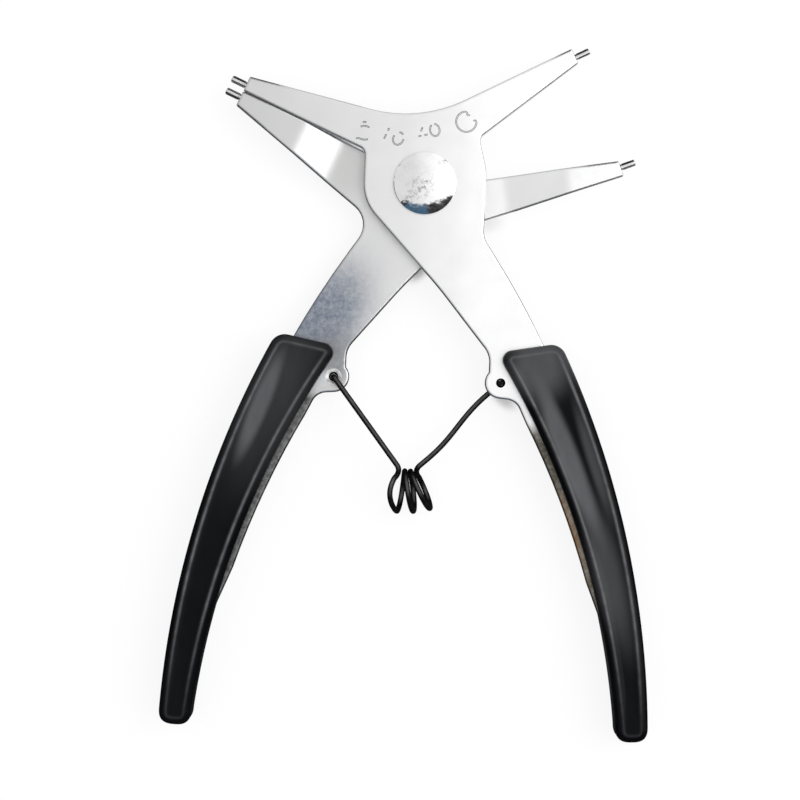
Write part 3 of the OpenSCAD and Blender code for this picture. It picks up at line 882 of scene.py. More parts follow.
class PLIERS_OT_rivet(bpy.types.Operator):
    """Make the domed pivot rivet"""

    bl_idname = "pliers.rivet"
    bl_label = "Rivet"

    def execute(self, context):
        settings = context.scene.pliers_rivet
        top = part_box("pivot_rivet")[1].z / MM
        under = FRONT_Z + PLATE_T + HEAD_GAP
        cap_h = settings.dome / MM
        rim = top - cap_h
        if rim < under + HEAD_MIN:
            raise ValueError("the dome is too high for the rivet's head")
        cap_r = (RIVET_R ** 2 + cap_h ** 2) / (2 * cap_h)
        edge = math.degrees(math.asin((RIVET_R - 0.25) / cap_r))
        profile = [(0, 0), (RIVET_R - 0.8, 0), (RIVET_R - 0.25, 0.35), (RIVET_R, 0.8),
                   (RIVET_R, REAR_Z - HEAD_BREAK), (RIVET_R - HEAD_BREAK, REAR_Z), (SHANK_R, REAR_Z),
                   (SHANK_R, under), (RIVET_R - HEAD_BREAK, under), (RIVET_R, under + HEAD_BREAK),
                   (RIVET_R, rim - HEAD_BREAK), (RIVET_R - 0.03, rim - 0.02), (RIVET_R - 0.11, rim + 0.07)]
        profile += [(r, top - cap_r + z) for r, z in arc(cap_r, 90 - edge, 89.0, DOME_STEPS)]
        profile += [(0, top)]
        mesh = lathe(profile).mesh("rivet_domed", [polished_plate("Polished_plate", settings)], sharp=30.0)
        place(mesh, "rear_half", "bright_plate", "pivot_rivet")
        return {"FINISHED"}


# Tip pins

# Length of a pin inside its jaw
PIN_ROOT = 1.0


def node_group(name, inputs):
    """Geometry tree with a geometry input, named inputs and a geometry output."""
    tree = bpy.data.node_groups.new(name, "GeometryNodeTree")
    tree.interface.new_socket("Geometry", in_out="INPUT", socket_type="NodeSocketGeometry")
    for label, kind in inputs:
        tree.interface.new_socket(label, in_out="INPUT", socket_type=kind)
    tree.interface.new_socket("Geometry", in_out="OUTPUT", socket_type="NodeSocketGeometry")
    return tree, tree.nodes.new("NodeGroupInput"), tree.nodes.new("NodeGroupOutput")


def run_tree(carrier, tree, values, name):
    """Runs a geometry tree on an object and returns its result as a plain mesh."""
    modifier = carrier.modifiers.new(tree.name, "NODES")
    modifier.node_group = tree
    for item in tree.interface.items_tree:
        if item.in_out == "INPUT" and item.name in values:
            modifier[item.identifier] = values[item.name]
    graph = bpy.context.evaluated_depsgraph_get()
    graph.update()
    mesh = bpy.data.meshes.new_from_object(carrier.evaluated_get(graph), depsgraph=graph)
    carrier.modifiers.remove(modifier)
    mesh.name = name
    return mesh


def end_tree(tree, start, end, geometry):
    """Ends a geometry tree with plain meshes in one material."""
    real = node(tree, "GeometryNodeRealizeInstances", {"Geometry": geometry})
    paint = node(tree, "GeometryNodeSetMaterial", {
        "Geometry": real.outputs["Geometry"], "Material": start.outputs["Material"]})
    tree.links.new(paint.outputs["Geometry"], end.inputs["Geometry"])
    return tree


def pin_tree():
    """Sets one pin on each point, turned along the point's axis."""
    tree, start, end = node_group("Pins_on_jaws", [
        ("Pin", "NodeSocketObject"), ("Material", "NodeSocketMaterial")])
    info = node(tree, "GeometryNodeObjectInfo", {"Object": start.outputs["Pin"]})
    axis = node(tree, "GeometryNodeInputNamedAttribute", {"Name": "axis"}, data_type="FLOAT_VECTOR")
    turn = node(tree, "FunctionNodeAlignRotationToVector", {"Vector": axis.outputs[0]}, axis="Z")
    put = node(tree, "GeometryNodeInstanceOnPoints", {
        "Points": start.outputs["Geometry"], "Instance": info.outputs["Geometry"],
        "Rotation": turn.outputs["Rotation"]})
    return end_tree(tree, start, end, put.outputs["Instances"])


class PinSettings(bpy.types.PropertyGroup):
    """Look of the four tip pins."""

    chamfer: bpy.props.FloatProperty(
        name="Tip chamfer", description="Chamfer round the end of a pin", default=0.3 * MM, min=0.1 * MM,
        max=0.5 * MM, unit="LENGTH", precision=5)
    groove: bpy.props.FloatProperty(
        name="Root groove", description="Depth of the groove where a pin leaves its jaw", default=0.14 * MM,
        min=0, max=0.3 * MM, unit="LENGTH", precision=5)
    colour: bpy.props.FloatVectorProperty(
        name="Pin colour", description="Colour of the turned steel", size=3, default=(0.84, 0.84, 0.84),
        min=0, max=1, subtype="COLOR")


class PLIERS_OT_pins(bpy.types.Operator):
    """Make the tip pins on the four jaws"""

    bl_idname = "pliers.pins"
    bl_label = "Tip pins"

    def execute(self, context):
        settings = context.scene.pliers_pins
        steel = turned_steel("Turned_steel", settings)
        mounts = [m for m in frame["record"]["mounts"] if m["kind"] == "pin"]
        radius, wall = mounts[0]["dims"]["r_mm"], mounts[0]["dims"]["length_mm"]
        chamfer, groove = settings.chamfer / MM, settings.groove / MM
        neck, tip = radius - groove, wall + chamfer
        profile = [(0, -PIN_ROOT), (radius - 0.15, -PIN_ROOT), (neck, 0.0), (neck, 0.3), (radius, 0.45),
                   (radius, wall), (radius - 0.35 * chamfer, wall + 0.6 * chamfer), (radius - chamfer, tip),
                   (0, tip)]
        pin = lathe(profile, PIN_SIDES).mesh("pin_pattern", [steel], sharp=30.0)
        pattern = bpy.data.objects.new("pin_pattern", pin)
        tree = pin_tree()
        for side in ("front", "rear"):
            chosen = [m for m in mounts if m["name"].startswith(side)]
            places = [Vector(m["pos_m"]) - Vector(m["axis"]) * wall / 2 * MM for m in chosen]
            roots = bpy.data.meshes.new("roots")
            roots.from_pydata(places, [], [])
            axes = roots.attributes.new("axis", "FLOAT_VECTOR", "POINT")
            axes.data.foreach_set("vector", [c for m in chosen for c in m["axis"]])
            carrier = bpy.data.objects.new("roots", roots)
            context.scene.collection.objects.link(carrier)
            mesh = run_tree(carrier, tree, {"Pin": pattern, "Material": steel}, side + "_tip_pins")
            bpy.data.objects.remove(carrier)
            tidy_mesh(mesh, sharp=30.0)
            place(mesh, side + "_half", "pin_steel", side + "_external_pin", side + "_internal_pin")
        bpy.data.objects.remove(pattern)
        return {"FINISHED"}


# Return spring

# Side of the wire that gets a painted highlight
HIGHLIGHT_SIDE = Vector((0.0, 0.3, 0.95))


def coil_point(a):
    """Middle of the wire at an angle along the coil."""
    c, s = aim(a)
    lean = COIL_LEAN + COIL_FAN * a / 360
    bow = COIL_BOW * s * s if a < 180 else 0
    drop = math.sqrt(4 * COIL_R ** 2 - lean ** 2)
    return np.array([COIL_X + COIL_PITCH * a / 360 + lean * (1 - c) / 2 - bow,
                     COIL_R - COIL_Y - drop * (1 - c) / 2, MID_Z + COIL_R * s])


def bent(p, q, r, steps=12):
    """Smooth bend from p to r, drawn towards the corner q."""
    return [(1 - t) ** 2 * p + 2 * t * (1 - t) * q + t * t * r for t in np.linspace(0, 1, steps + 1)]


def hook(hole, leg_z, end_z, towards):
    """Hook that goes through a lug's hole and bends into a leg."""
    top = np.array([*hole, leg_z])
    run = unit(towards - top)
    down = np.array([0, 0, math.copysign(1, end_z - leg_z)])
    return [np.array([*hole, end_z])] + bent(top + HOOK_R * down, top, top + HOOK_R * run)


def spring_route():
    """Points along the wire, with the share of the right-hand lever's turn that each one follows."""
    nose = np.array([LEG_NOSE, 0, 0])
    left_turn = coil_point(COIL_FROM - LEG_LEAD) + nose
    right_turn = coil_point(COIL_TO + LEG_LEAD) - nose
    wire_gap = WIRE_CLEAR + WIRE_R
    left = hook(LEFT_LUG, REAR_Z + PLATE_T + wire_gap, REAR_Z + HOOK_SHORT, left_turn)
    right = hook(LUG, FRONT_Z - wire_gap, FRONT_Z + PLATE_T - HOOK_SHORT, right_turn)

    def leg(start, turn, sway):
        """Run from a hook to the bend before the coil, swaying a little to one side and the other."""
        out = unit(start - turn)
        end = turn + LEG_BEND * out
        side = np.array([out[1], -out[0], 0]) / math.hypot(out[0], out[1])
        steps = np.linspace(0, 1, 25)
        return [start + (end - start) * t - sway * math.sin(2 * math.pi * t) * side for t in steps], end

    left_leg, left_end = leg(left[-1], left_turn, 0)
    right_leg, right_end = leg(right[-1], right_turn, LEG_SWAY)
    coil = [coil_point(a) for a in np.arange(COIL_FROM + 6, COIL_TO - 3, 7.0)]
    parts = [
        (left, 0, 0), (left_leg[1:-1], 0, 0.5),
        (bent(left_end, left_turn, coil_point(COIL_FROM)), 0.5, 0.5), (coil, 0.5, 0.5),
        (bent(coil_point(COIL_TO), right_turn, right_end), 0.5, 0.5),
        (right_leg[-2:0:-1], 0.5, 1), (right[::-1], 1, 1),
    ]
    points, shares = [], []
    for run, low, high in parts:
        points += run
        shares += list(np.linspace(low, high, len(run)))
    return np.array(points), np.array(shares)


def wire_tree():
    """Round wire along a curve."""
    tree, start, end = node_group("Wire_on_route", [
        ("Wire radius", "NodeSocketFloat"), ("Wire sides", "NodeSocketInt"),
        ("Material", "NodeSocketMaterial")])
    section = node(tree, "GeometryNodeCurvePrimitiveCircle", {
        "Resolution": start.outputs["Wire sides"], "Radius": start.outputs["Wire radius"]})
    wire = node(tree, "GeometryNodeCurveToMesh", {
        "Curve": start.outputs["Geometry"], "Profile Curve": section.outputs["Curve"], "Fill Caps": True})
    soft = node(tree, "GeometryNodeSetShadeSmooth", {"Geometry": wire.outputs["Mesh"]})
    return end_tree(tree, start, end, soft.outputs["Geometry"])


class SpringSettings(bpy.types.PropertyGroup):
    """Look of the return spring."""

    wire: bpy.props.FloatProperty(
        name="Wire radius", description="Radius of the spring wire", default=WIRE_R * MM, min=0.4 * MM,
        max=1 * MM, unit="LENGTH", precision=5)
    sides: bpy.props.IntProperty(
        name="Wire sides", description="Flats round the wire", default=20, min=8, max=48)
    colour: bpy.props.FloatVectorProperty(
        name="Wire colour", description="Colour of the blackened wire", size=3,
        default=(0.0025, 0.0025, 0.0025), min=0, max=1, subtype="COLOR")
    # Colour of the painted highlight along the wire's upper side
    top_highlight: bpy.props.FloatVectorProperty(
        name="Rubbed colour", description="Colour of the wire's rubbed upper side", size=3,
        default=(0.09, 0.09, 0.09), min=0, max=1, subtype="COLOR")


class PLIERS_OT_spring(bpy.types.Operator):
    """Make the coiled return spring, bent between the two levers"""

    bl_idname = "pliers.spring"
    bl_label = "Return spring"

    def execute(self, context):
        settings = context.scene.pliers_spring
        route, shares = spring_route()
        curve = bpy.data.curves.new("wire_route", "CURVE")
        curve.dimensions = "3D"
        spline = curve.splines.new("POLY")
        spline.points.add(len(route) - 1)
        spline.points.foreach_set("co", [c for p in route for c in (*(p * MM), 1.0)])
        carrier = bpy.data.objects.new("wire_route", curve)
        context.scene.collection.objects.link(carrier)
        wire = black_wire("Black_wire", settings)
        mesh = run_tree(carrier, wire_tree(), {"Wire radius": settings.wire, "Wire sides": settings.sides,
                                               "Material": wire}, "spring_wire")
        bpy.data.objects.remove(carrier)
        tidy_mesh(mesh, sharp=50.0)
        # Painted highlight on the wire where its faces turn towards the lit side
        upward = smooth_step([v.normal.dot(HIGHLIGHT_SIDE) for v in mesh.vertices], 0.84, 1.0)
        mesh.attributes.new("rub", "FLOAT", "POINT").data.foreach_set("value", upward.astype(np.float32))
        piece = bpy.data.objects.new("spring_wire", mesh)
        context.scene.collection.objects.link(piece)
        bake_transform(piece, "rear_half", "front_half", start=tuple(route[0] * MM), end=tuple(route[-1] * MM))
        places = np.array([v.co for v in mesh.vertices]) / MM
        nearest = [int(np.argmin(np.sum((route - p) ** 2, axis=1))) for p in places]
        mesh.attributes["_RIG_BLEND"].data.foreach_set("value", shares[nearest].astype(np.float32))
        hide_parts("return_spring")
        return {"FINISHED"}


# Grips

# Length along the outer edge at which its top corner begins
CORNER_S = 5.5
# Reach of the edge's rounding, as a share of the crease's inset
EDGE_SWELL = 1.25
# Width of the step inside the crease, and half-width of the painted highlight along the ridge on it
STEP_WIDTH = 0.9
RIDGE_WIDTH = 0.32
# Lengths along a grip over which its dish begins, the painted highlight on its ridges begins and that
# highlight fades
DISH_FROM = (1.5, 7.0)
RIDGE_HIGHLIGHT_FROM = (1.5, 9.0)
RIDGE_HIGHLIGHT_TO = (66.0, 102.0)
# Distances inside the outline over which the dish begins
DISH_EDGE = (1.9, 3.4)
# Length of the butt end over which the dish fades
DISH_FADE = 14
# Distances from the outline at which the grip's grid has points, and its spacing along the rest
NEAR_EDGE = (0, 0.015, 0.06, 0.14, 0.26, 0.42, 0.62, 0.86, 1.14, 1.45, 1.72, 1.9, 2.0, 2.15, 2.4, 2.75, 3.2)
FIRST_ROW, ROW_STEP = 4.2, 1.4
# Share of the half-width at which a row's slant to the outline is measured, and the most that counts
PROBE = 0.3
MOST_SKEW = 1.25


def on_handle(s, w):
    """Point a length s below the top of the grip and w inside its outer edge."""
    centre = np.array(HANDLE_TOP) - HANDLE_R * aim(HANDLE_LEAN)
    return centre + (HANDLE_R - w) * aim(HANDLE_LEAN - math.degrees(s / HANDLE_R))


def inner_arc():
    """Centre of the grip's inner edge, its angles at the top edge and the butt, and its top corner."""
    p, q = on_handle(0, GRIP_TOP_W), on_handle(BUTT_S, GRIP_BUTT_W)
    half = (q - p) / 2
    side = np.array([half[1], -half[0]]) / np.linalg.norm(half)
    centre = p + half + side * math.sqrt(GRIP_INNER_R ** 2 - half @ half)
    top = np.array(HANDLE_TOP)
    run = unit(on_handle(-GRIP_SKEW, GRIP_TOP_W) - top)
    away = top - centre
    half_chord = math.sqrt((away @ run) ** 2 - away @ away + GRIP_INNER_R ** 2)
    reach = min(r for r in (-(away @ run) - half_chord, -(away @ run) + half_chord) if r > 0)
    corner = top + run * reach
    a_top, a_butt = (math.degrees(math.atan2(*(r - centre)[::-1])) for r in (corner, q))
    return centre, a_top, a_butt, corner


def grip_outline(settings):
    """Right-hand grip in plan, anticlockwise from the butt up its outer edge."""
    centre, a_top, a_butt, corner = inner_arc()
    top = np.array(HANDLE_TOP)
    outer = [on_handle(s, 0) for s in np.linspace(BUTT_S, CORNER_S, 80)]
    points = outer + rounded_corner(outer[-1], top, corner, settings.outer_corner / MM)
    inner = [centre + GRIP_INNER_R * aim(a) for a in np.linspace(a_top, a_butt, 90)]
    points += rounded_corner(top, corner, inner[4], settings.inner_corner / MM) + inner[4:]
    middle = on_handle(BUTT_S, GRIP_BUTT_W / 2)
    start = inner[-1] - middle
    for k in range(1, BUTT_STEPS):
        c, s = aim(180 * k / BUTT_STEPS)
        square = (abs(c) ** BUTT_POWER + abs(s) ** BUTT_POWER) ** (-1 / BUTT_POWER)
        points.append(middle + square * rotate(start, c, s))
    return np.array(points)


def crossings(loop, origin, run):
    """Smallest and largest distance along a line at which it crosses an outline."""
    hits = []
    for p, q in sides_of(loop):
        edge = q - p
        bend = cross(run, edge)
        if abs(bend) > 1e-9 and -1e-9 <= cross(p - origin, run) / bend <= 1 + 1e-9:
            hits.append(cross(p - origin, edge) / bend)
    return min(hits), max(hits)


def edge_profile(depth, settings):
    """Height of the grip's face at a distance inside its outline: rounded edge, crease, shallow step."""
    crease, edge_h, step = settings.crease / MM, settings.edge / MM, settings.step / MM
    swell = EDGE_SWELL * crease
    part = np.clip(depth, 0, crease) / swell
    top = math.sqrt(1 - (1 - crease / swell) ** 2)
    rise = edge_h * np.sqrt(1 - (1 - part) ** 2) / top
    fall = np.clip((depth - crease) / STEP_WIDTH, 0, 1)
    return GRIP_T - edge_h + rise - step * (1 - (1 - fall) ** 2)


def grip_shell(settings):
    """Right-hand grip: a grid of rows across it, with both faces creased and dished alike."""
    loop = grip_outline(settings)
    centre, a_top, a_butt, _ = inner_arc()
    lengths = [*NEAR_EDGE[1:], *np.arange(FIRST_ROW, BUTT_S, ROW_STEP), BUTT_S]
    rows = []
    for s in [0.004, *lengths]:
        outer = on_handle(s, 0)
        rows.append((outer, centre + GRIP_INNER_R * aim(a_top + (a_butt - a_top) * (s / BUTT_S)) - outer))
    last, across = rows[-1][0], unit(rows[-1][1])
    down = np.array([across[1], -across[0]])
    down = down if down[1] < 0 else -down
    for k in range(1, BUTT_ROWS + 1):
        h = GRIP_BUTT_W / 2 * math.sin(math.radians(89.5 * k / BUTT_ROWS))
        rows.append((last + down * h, across))
    grid, fractions = [], []
    for origin, run in rows:
        run = unit(run)
        low, high = crossings(loop, origin, run)
        width = high - low
        probe = PROBE * width / 2
        near_ends = np.array([origin + run * (low + probe), origin + run * (high - probe)])
        skew = np.clip(probe / np.maximum(distance(near_ends, loop), 1e-6), 1.0, MOST_SKEW)
        fit = min(1.0, 0.48 * width / (NEAR_EDGE[-1] * MOST_SKEW))
        left = [low + d * fit * skew[0] for d in NEAR_EDGE]
        right = [high - d * fit * skew[1] for d in NEAR_EDGE][::-1]
        along = left + list(np.linspace(left[-1], right[0], 10)[1:-1]) + right
        grid.append([origin + run * d for d in along])
        fractions.append([(d - low) / width for d in along])
    grid, fractions = np.array(grid), np.array(fractions)
    rows_n, columns = grid.shape[:2]
    flat = grid.reshape(-1, 2)
    depth = distance(flat, loop).reshape(rows_n, columns)
    depth[0], depth[-1], depth[:, 0], depth[:, -1] = 0, 0, 0, 0
    ends = np.array([0.0, *lengths] + [BUTT_S] * BUTT_ROWS)
    fade = smooth_step(ends, *DISH_FROM) * (1 - smooth_step(ends, BUTT_S - DISH_FADE, BUTT_S))
    hollow = settings.dish / MM * (1 - (2 * fractions - 1) ** 2) * fade[:, None]
    height = edge_profile(depth, settings) - hollow * smooth_step(depth, *DISH_EDGE)
    shell = Shell()
    upper = np.array(shell.ring(flat, height.ravel())).reshape(rows_n, columns)
    lower = np.array(shell.ring(flat, GRIP_T - height.ravel())).reshape(rows_n, columns)
    # Strength of the painted highlight on the ridges along the grip
    worn = (1 - 0.85 * smooth_step(ends, *RIDGE_HIGHLIGHT_TO)) * (0.45 + 0.55 * smooth_step(ends, *RIDGE_HIGHLIGHT_FROM))
    ridge_highlight = worn[:, None] * np.exp(-((depth - settings.crease / MM) / RIDGE_WIDTH) ** 2)
    shell.rub = list(ridge_highlight.ravel()) * 2
    for i in range(rows_n - 1):
        for j in range(columns - 1):
            for part in (upper, lower):
                shell.face((part[i, j], part[i + 1, j], part[i + 1, j + 1], part[i, j + 1]))
    border = [(0, j) for j in range(columns)] + [(i, columns - 1) for i in range(1, rows_n)]
    border += [(rows_n - 1, j) for j in range(columns - 2, -1, -1)]
    border += [(i, 0) for i in range(rows_n - 2, 0, -1)]
    shell.strip([lower[b] for b in border], [upper[b] for b in border])
    return shell


class GripSettings(bpy.types.PropertyGroup):
    """Shape and look of the two moulded grips."""

    edge: bpy.props.FloatProperty(
        name="Edge height", description="Height of the rounded edge", default=2.4 * MM, min=1 * MM,
        max=4 * MM, unit="LENGTH", precision=5)
    crease: bpy.props.FloatProperty(
        name="Crease inset", description="Distance of the crease from the outline", default=1.9 * MM,
        min=1 * MM, max=2.5 * MM, unit="LENGTH", precision=5)
    step: bpy.props.FloatProperty(
        name="Crease step", description="Step down inside the crease", default=0.22 * MM, min=0, max=0.6 * MM,
        unit="LENGTH", precision=5)
    dish: bpy.props.FloatProperty(
        name="Dish", description="Depth of the hollow along the face", default=0.4 * MM, min=0, max=1 * MM,
        unit="LENGTH", precision=5)
    outer_corner: bpy.props.FloatProperty(
        name="Outer corner", description="Radius of the outer top corner", default=4 * MM, min=1 * MM,
        max=6 * MM, unit="LENGTH", precision=5)
    inner_corner: bpy.props.FloatProperty(
        name="Inner corner", description="Radius of the inner top corner", default=2.6 * MM, min=1 * MM,
        max=4 * MM, unit="LENGTH", precision=5)
    colour: bpy.props.FloatVectorProperty(
        name="Grip colour", description="Colour of the moulding", size=3, default=(0.0022, 0.0024, 0.003),
        min=0, max=1, subtype="COLOR")
    # Colour of the painted sheen highlights on the grips' faces
    painted_sheen: bpy.props.FloatVectorProperty(
        name="Sheen colour", description="Colour of the soft sheen where it is held", size=3,
        default=(0.092, 0.094, 0.100), min=0, max=1, subtype="COLOR")
    # Colour of the painted highlights along the ridges
    ridge_highlight: bpy.props.FloatVectorProperty(
        name="Ridge colour", description="Colour of the rubbed ridges", size=3, default=(0.130, 0.131, 0.135),
        min=0, max=1, subtype="COLOR")
    roughness: bpy.props.FloatProperty(
        name="Roughness", description="Dullness of the moulding", default=0.24, min=0, max=0.9,
        subtype="FACTOR")
    gloss: bpy.props.FloatProperty(
        name="Gloss", description="Strength of the moulding's reflections", default=0.06, min=0, max=1,
        subtype="FACTOR")


class PLIERS_OT_grips(bpy.types.Operator):
    """Make the two moulded grips"""

    bl_idname = "pliers.grips"
    bl_label = "Grips"

    def execute(self, context):
        settings = context.scene.pliers_grips
        vinyl = glossy_vinyl("Glossy_vinyl", settings)
        shell = grip_shell(settings)
        for name, made, body, solid in (
            ("grip_right", shell, "front_half", "right_grip"),
            ("grip_left", shell.turned_over(), "rear_half", "left_grip"),
        ):
            place(made.mesh(name, [vinyl], sharp=60.0), body, "grip_plastic", solid)
        return {"FINISHED"}


# Stage, in metres except for the table's shades

# Brightness of the surround on the left and on the right
SKY_SHARES = (0.80, 1.27)
# How much of the table glows white, and where it keeps more of the shade: place, reach, turn, core and share
TABLE_WHITE = 0.86
TABLE_SHADES = (
    ((-28.0, 13.0), (3.0, 15.0), EXT_DIR - 90, 0.3, 0.88),
    ((-0.7, -22.0), (6.0, 3.4), 46.0, 0.0, 0.9),
    ((18.0, -9.3), (5.0, 3.2), 20.0, 0.0, 0.9),
    ((22.6, -54.3), (6.0, 3.2), -35.0, 0.0, 0.8),
)
# The table lies just under the pliers, and the dark sheets just above the table
TABLE_HALF = 3.0
TABLE_Z = -0.00005
SHEET_Z = TABLE_Z + 0.00002
# Tall cards in front and on the left: both ends and the height
FRONT_CARD = (-0.55, -0.40, 1.35, -0.40, 1.1)
LEFT_CARD = (-0.5, -0.4, -0.5, 0.06, 0.18)
# Blue part of the front card, along X, and the height at which its ragged top ends
BLUE_FROM = (-0.40, -0.34)
BLUE_TO = (0.04, 0.10)
BLUE_TOP = (0.42, 0.50)
# Low cards by the tip pins, seen only in reflections, that put painted shade along the pins' sides: their ends
# and their height
PIN_SHADE_CARDS = (
    (0.0297, 0.0412, 0.0439, 0.0486),
    (0.0407, 0.0130, 0.0555, 0.0190),
    (-0.0516, 0.0364, -0.0370, 0.0300),
    (-0.0602, 0.0159, -0.0456, 0.0095),
)
PIN_CARD_H = 0.022
# Dark sheets on the table, seen only in reflections, as painted shade of the table beside the pliers: from
# corner to corner
SHADE_SHEETS = (
    (-0.5, -0.4, 0.5, -0.045),
    (-0.5, -0.045, -0.015, 0.034),
    (-0.015, -0.045, 0.015, -0.012),
    (0.024, -0.03, 0.066, -0.002),
    (-0.07, 0.034, -0.04, 0.05),
)
# Where the lamps point, and where the camera stands
LIT_PLACE = (0.0, -0.055, 0.006)
CAMERA_PLACE = (-0.00410, -0.05549)
SENSOR_MM = 36.0


class StageSettings(bpy.types.PropertyGroup):
    """Camera, light and table."""

    distance: bpy.props.FloatProperty(
        name="Camera height", description="Height of the camera above the table", default=0.6, min=0.3, max=3,
        unit="LENGTH")
    roll: bpy.props.FloatProperty(
        name="Camera roll", description="Turn of the picture", default=math.radians(2.3), min=-0.5, max=0.5,
        unit="ROTATION")
    width: bpy.props.FloatProperty(
        name="Picture width", description="Width of the picture at the front plate", default=0.204, min=0.05,
        max=1, unit="LENGTH")
    table: bpy.props.FloatVectorProperty(
        name="Table colour", description="Colour of the table", size=3, default=(0.9, 0.9, 0.9), min=0, max=1,
        subtype="COLOR")
    key: bpy.props.FloatProperty(
        name="Key lamp", description="Power of the lamp on the right", default=1.6, min=0, max=20,
        unit="POWER")
    fill: bpy.props.FloatProperty(
        name="Fill lamp", description="Power of the lamp on the left", default=0.5, min=0, max=20,
        unit="POWER")
    sky: bpy.props.FloatProperty(
        name="Surround", description="Brightness of the white surround", default=0.95, min=0, max=2)


def white_where_seen(tree, shader_out, lit, white):
    """Mixes a white glow over a lit shader wherever the camera or a reflection sees it."""
    rays = node(tree, "ShaderNodeLightPath").outputs
    seen = calculate(tree, "MAXIMUM", rays["Is Camera Ray"], rays["Is Glossy Ray"])
    seen = calculate(tree, "MAXIMUM", seen, rays["Is Transmission Ray"])
    glow = node(tree, "ShaderNodeEmission", {"Color": (1, 1, 1, 1), "Strength": 1.0})
    mix = node(tree, "ShaderNodeMixShader", {
        0: product(tree, seen, white), 1: lit, 2: glow.outputs["Emission"]})
    tree.links.new(mix.outputs["Shader"], shader_out)


def studio_world(settings):
    """White surround, a little brighter on the right."""
    world = bpy.data.worlds.new("Studio")
    bpy.context.scene.world = world
    world.use_nodes = True
    tree = world.node_tree
    tree.nodes.clear()
    coords = node(tree, "ShaderNodeTexCoord")
    axes = node(tree, "ShaderNodeSeparateXYZ", {"Vector": coords.outputs["Generated"]})
    low, high = shaded(SKY_SHARES, settings.sky)
    level = span(tree, axes.outputs["X"], -0.4, 0.6, low, high)
    light = node(tree, "ShaderNodeBackground", {"Color": (1, 1, 1, 1), "Strength": level})
    white = node(tree, "ShaderNodeBackground", {"Color": (1, 1, 1, 1), "Strength": 1.0})
    path = node(tree, "ShaderNodeLightPath")
    mix = node(tree, "ShaderNodeMixShader", {
        0: path.outputs["Is Camera Ray"], 1: light.outputs["Background"], 2: white.outputs["Background"]})
    out = node(tree, "ShaderNodeOutputWorld")
    tree.links.new(mix.outputs["Shader"], out.inputs["Surface"])


def soft_lamp(name, power, size, place_m, mirrored):
    """Square lamp turned towards the pliers, which may show in polished metal."""
    lamp = bpy.data.lights.new(name, "AREA")
    lamp.energy, lamp.size = power, size
    obj = bpy.data.objects.new(name, lamp)
    obj.location = place_m
    obj.rotation_euler = (Vector(LIT_PLACE) - Vector(place_m)).to_track_quat("-Z", "Y").to_euler()
    obj.visible_glossy = mirrored
    bpy.context.scene.collection.objects.link(obj)


def stage_sheet(name, sheets, material, only_reflected=False):
    """Flat four-cornered sheets of the stage, in metres."""
    mesh = bpy.data.meshes.new(name)
    corners = [corner for sheet in sheets for corner in sheet]
    mesh.from_pydata(corners, [], [tuple(range(4 * k, 4 * k + 4)) for k in range(len(sheets))])
    mesh.materials.append(material)
    obj = bpy.data.objects.new(name, mesh)
    bpy.context.scene.collection.objects.link(obj)
    if only_reflected:
        obj.visible_camera = obj.visible_diffuse = obj.visible_shadow = False


def dark_card(name, blue):
    """Dark mottled card that shows in the metal; the blue one has a blue part and a ragged top."""
    material, tree, shader = new_material(name)
    tree.nodes.remove(shader)
    axes = node(tree, "ShaderNodeSeparateXYZ", {"Vector": own_place(tree)}).outputs
    blotch = span(tree, grain(tree, 22.0, 6.0, 0.7), 0.42, 0.6, 0.0, 1.0)
    colour = blend_colour(tree, blotch, (0.006, 0.006, 0.007), (0.07, 0.07, 0.07))
    if blue:
        begun = span(tree, axes["X"], *BLUE_FROM, 0.0, 1.0)
        near = product(tree, begun, span(tree, axes["X"], *BLUE_TO, 1.0, 0.0))
        streak = blend_colour(tree, blotch, (0.032, 0.08, 0.14), (0.085, 0.17, 0.26))
        colour = blend_colour(tree, near, colour, streak)
    glow = node(tree, "ShaderNodeEmission", {"Color": colour, "Strength": 1.0}).outputs["Emission"]
    if blue:
        ragged = span(tree, grain(tree, 9.0, 5.0, 0.75), 0.3, 0.7, -0.16, 0.16)
        lift = span(tree, axes["X"], -0.1, 1.3, 0.0, 0.35)
        level = calculate(tree, "SUBTRACT", calculate(tree, "ADD", axes["Z"], ragged), lift)
        clear = node(tree, "ShaderNodeBsdfTransparent").outputs["BSDF"]
        glow = node(tree, "ShaderNodeMixShader", {
            0: span(tree, level, *BLUE_TOP, 0.0, 1.0), 1: glow, 2: clear}).outputs["Shader"]
    tree.links.new(glow, tree.nodes["Material Output"].inputs["Surface"])
    return material


def flat_sheet(x0, y0, x1, y1, z):
    """Corners of a level sheet."""
    return [(x0, y0, z), (x1, y0, z), (x1, y1, z), (x0, y1, z)]


def upright_sheet(x0, y0, x1, y1, height):
    """Corners of a sheet that stands on the table between two places."""
    return [(x0, y0, 0.0), (x1, y1, 0.0), (x1, y1, height), (x0, y0, height)]


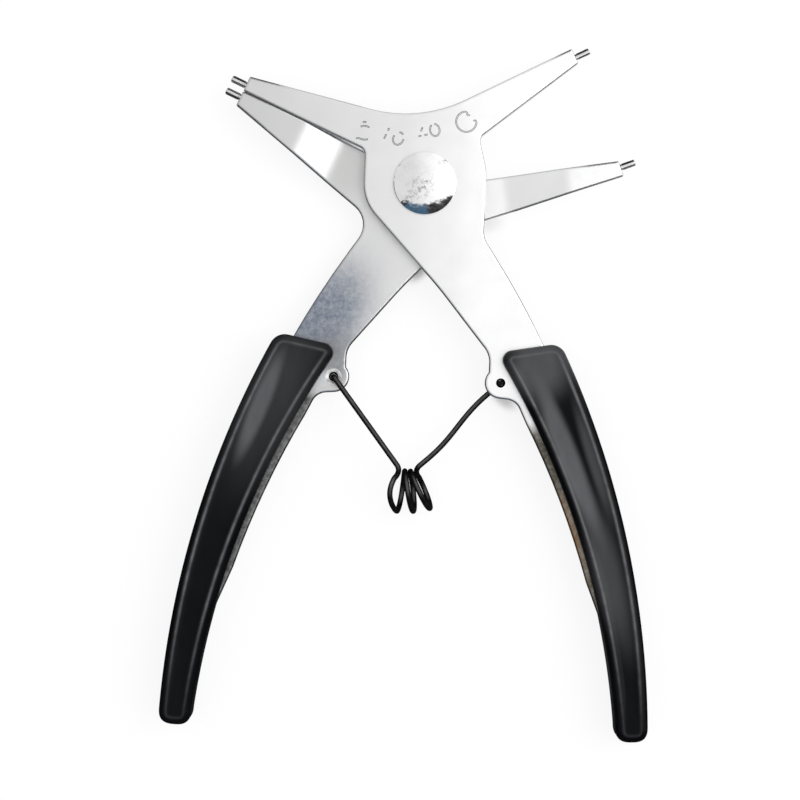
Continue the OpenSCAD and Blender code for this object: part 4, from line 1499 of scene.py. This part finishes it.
class PLIERS_OT_stage(bpy.types.Operator):
    """Make the table, the lamps and the camera"""

    bl_idname = "pliers.stage"
    bl_label = "Stage"

    def execute(self, context):
        settings = context.scene.pliers_stage
        context.scene.view_settings.view_transform = "Standard"
        studio_world(settings)
        pale, tree, shader = new_material("Pale_table")
        connect(tree, shader, {
            "Base Color": (*settings.table, 1), "Roughness": 0.9, "Specular IOR Level": 0.0})
        white = TABLE_WHITE
        for where, reach, turn, core, share in TABLE_SHADES:
            shade = spot(tree, where, reach, turn, core)
            white = product(tree, white, span(tree, shade, 0.0, 1.0, 1.0, 1.0 - share))
        surface = tree.nodes["Material Output"].inputs["Surface"]
        white_where_seen(tree, surface, shader.outputs["BSDF"], white)
        stage_sheet("table", [flat_sheet(-TABLE_HALF, -TABLE_HALF, TABLE_HALF, TABLE_HALF, TABLE_Z)], pale)
        blue_card, plain_card = dark_card("Blue_card", blue=True), dark_card("Dark_card", blue=False)
        stage_sheet("front_card", [upright_sheet(*FRONT_CARD)], blue_card, only_reflected=True)
        sheets = [upright_sheet(*LEFT_CARD)]
        sheets += [upright_sheet(*ends, PIN_CARD_H) for ends in PIN_SHADE_CARDS]
        sheets += [flat_sheet(*corners, SHEET_Z) for corners in SHADE_SHEETS]
        stage_sheet("side_card", sheets, plain_card, only_reflected=True)
        soft_lamp("key_lamp", settings.key, size=0.45, place_m=(0.42, 0.05, 0.45), mirrored=True)
        soft_lamp("fill_lamp", settings.fill, size=0.5, place_m=(-0.45, 0.1, 0.45), mirrored=False)
        camera = bpy.data.cameras.new("camera")
        obj = bpy.data.objects.new("camera", camera)
        obj.location = (*CAMERA_PLACE, settings.distance)
        obj.rotation_euler = (0, 0, settings.roll)
        camera.sensor_width = SENSOR_MM
        camera.lens = SENSOR_MM * (settings.distance - (FRONT_Z + PLATE_T) * MM) / settings.width
        camera.clip_start = 0.01
        context.scene.collection.objects.link(obj)
        context.scene.camera = obj
        return {"FINISHED"}


class PLIERS_PT_panel(bpy.types.Panel):
    """Lists the steps that make the pliers"""

    bl_idname = "PLIERS_PT_panel"
    bl_label = "Circlip pliers"
    bl_space_type = "VIEW_3D"
    bl_region_type = "UI"
    bl_category = "Pliers"

    def draw(self, context):
        for group, _, step in STEPS:
            box = self.layout.box()
            settings = getattr(context.scene, group)
            for name in type(settings).__annotations__:
                box.prop(settings, name)
            box.operator(step.bl_idname)


# Each step: the name of its settings, their class and its operator
STEPS = (
    ("pliers_levers", LeverSettings, PLIERS_OT_levers),
    ("pliers_rivet", RivetSettings, PLIERS_OT_rivet),
    ("pliers_pins", PinSettings, PLIERS_OT_pins),
    ("pliers_spring", SpringSettings, PLIERS_OT_spring),
    ("pliers_grips", GripSettings, PLIERS_OT_grips),
    ("pliers_stage", StageSettings, PLIERS_OT_stage),
)


def register():
    for name, group, step in STEPS:
        bpy.utils.register_class(group)
        setattr(bpy.types.Scene, name, bpy.props.PointerProperty(type=group))
        bpy.utils.register_class(step)
    bpy.utils.register_class(PLIERS_PT_panel)


def unregister():
    bpy.utils.unregister_class(PLIERS_PT_panel)
    for name, group, step in reversed(STEPS):
        bpy.utils.unregister_class(step)
        delattr(bpy.types.Scene, name)
        bpy.utils.unregister_class(group)


def main():
    register()
    bpy.ops.pliers.levers()
    bpy.ops.pliers.rivet()
    bpy.ops.pliers.pins()
    bpy.ops.pliers.spring()
    bpy.ops.pliers.grips()
    bpy.ops.pliers.stage()


if __name__ == "__main__":
    main()
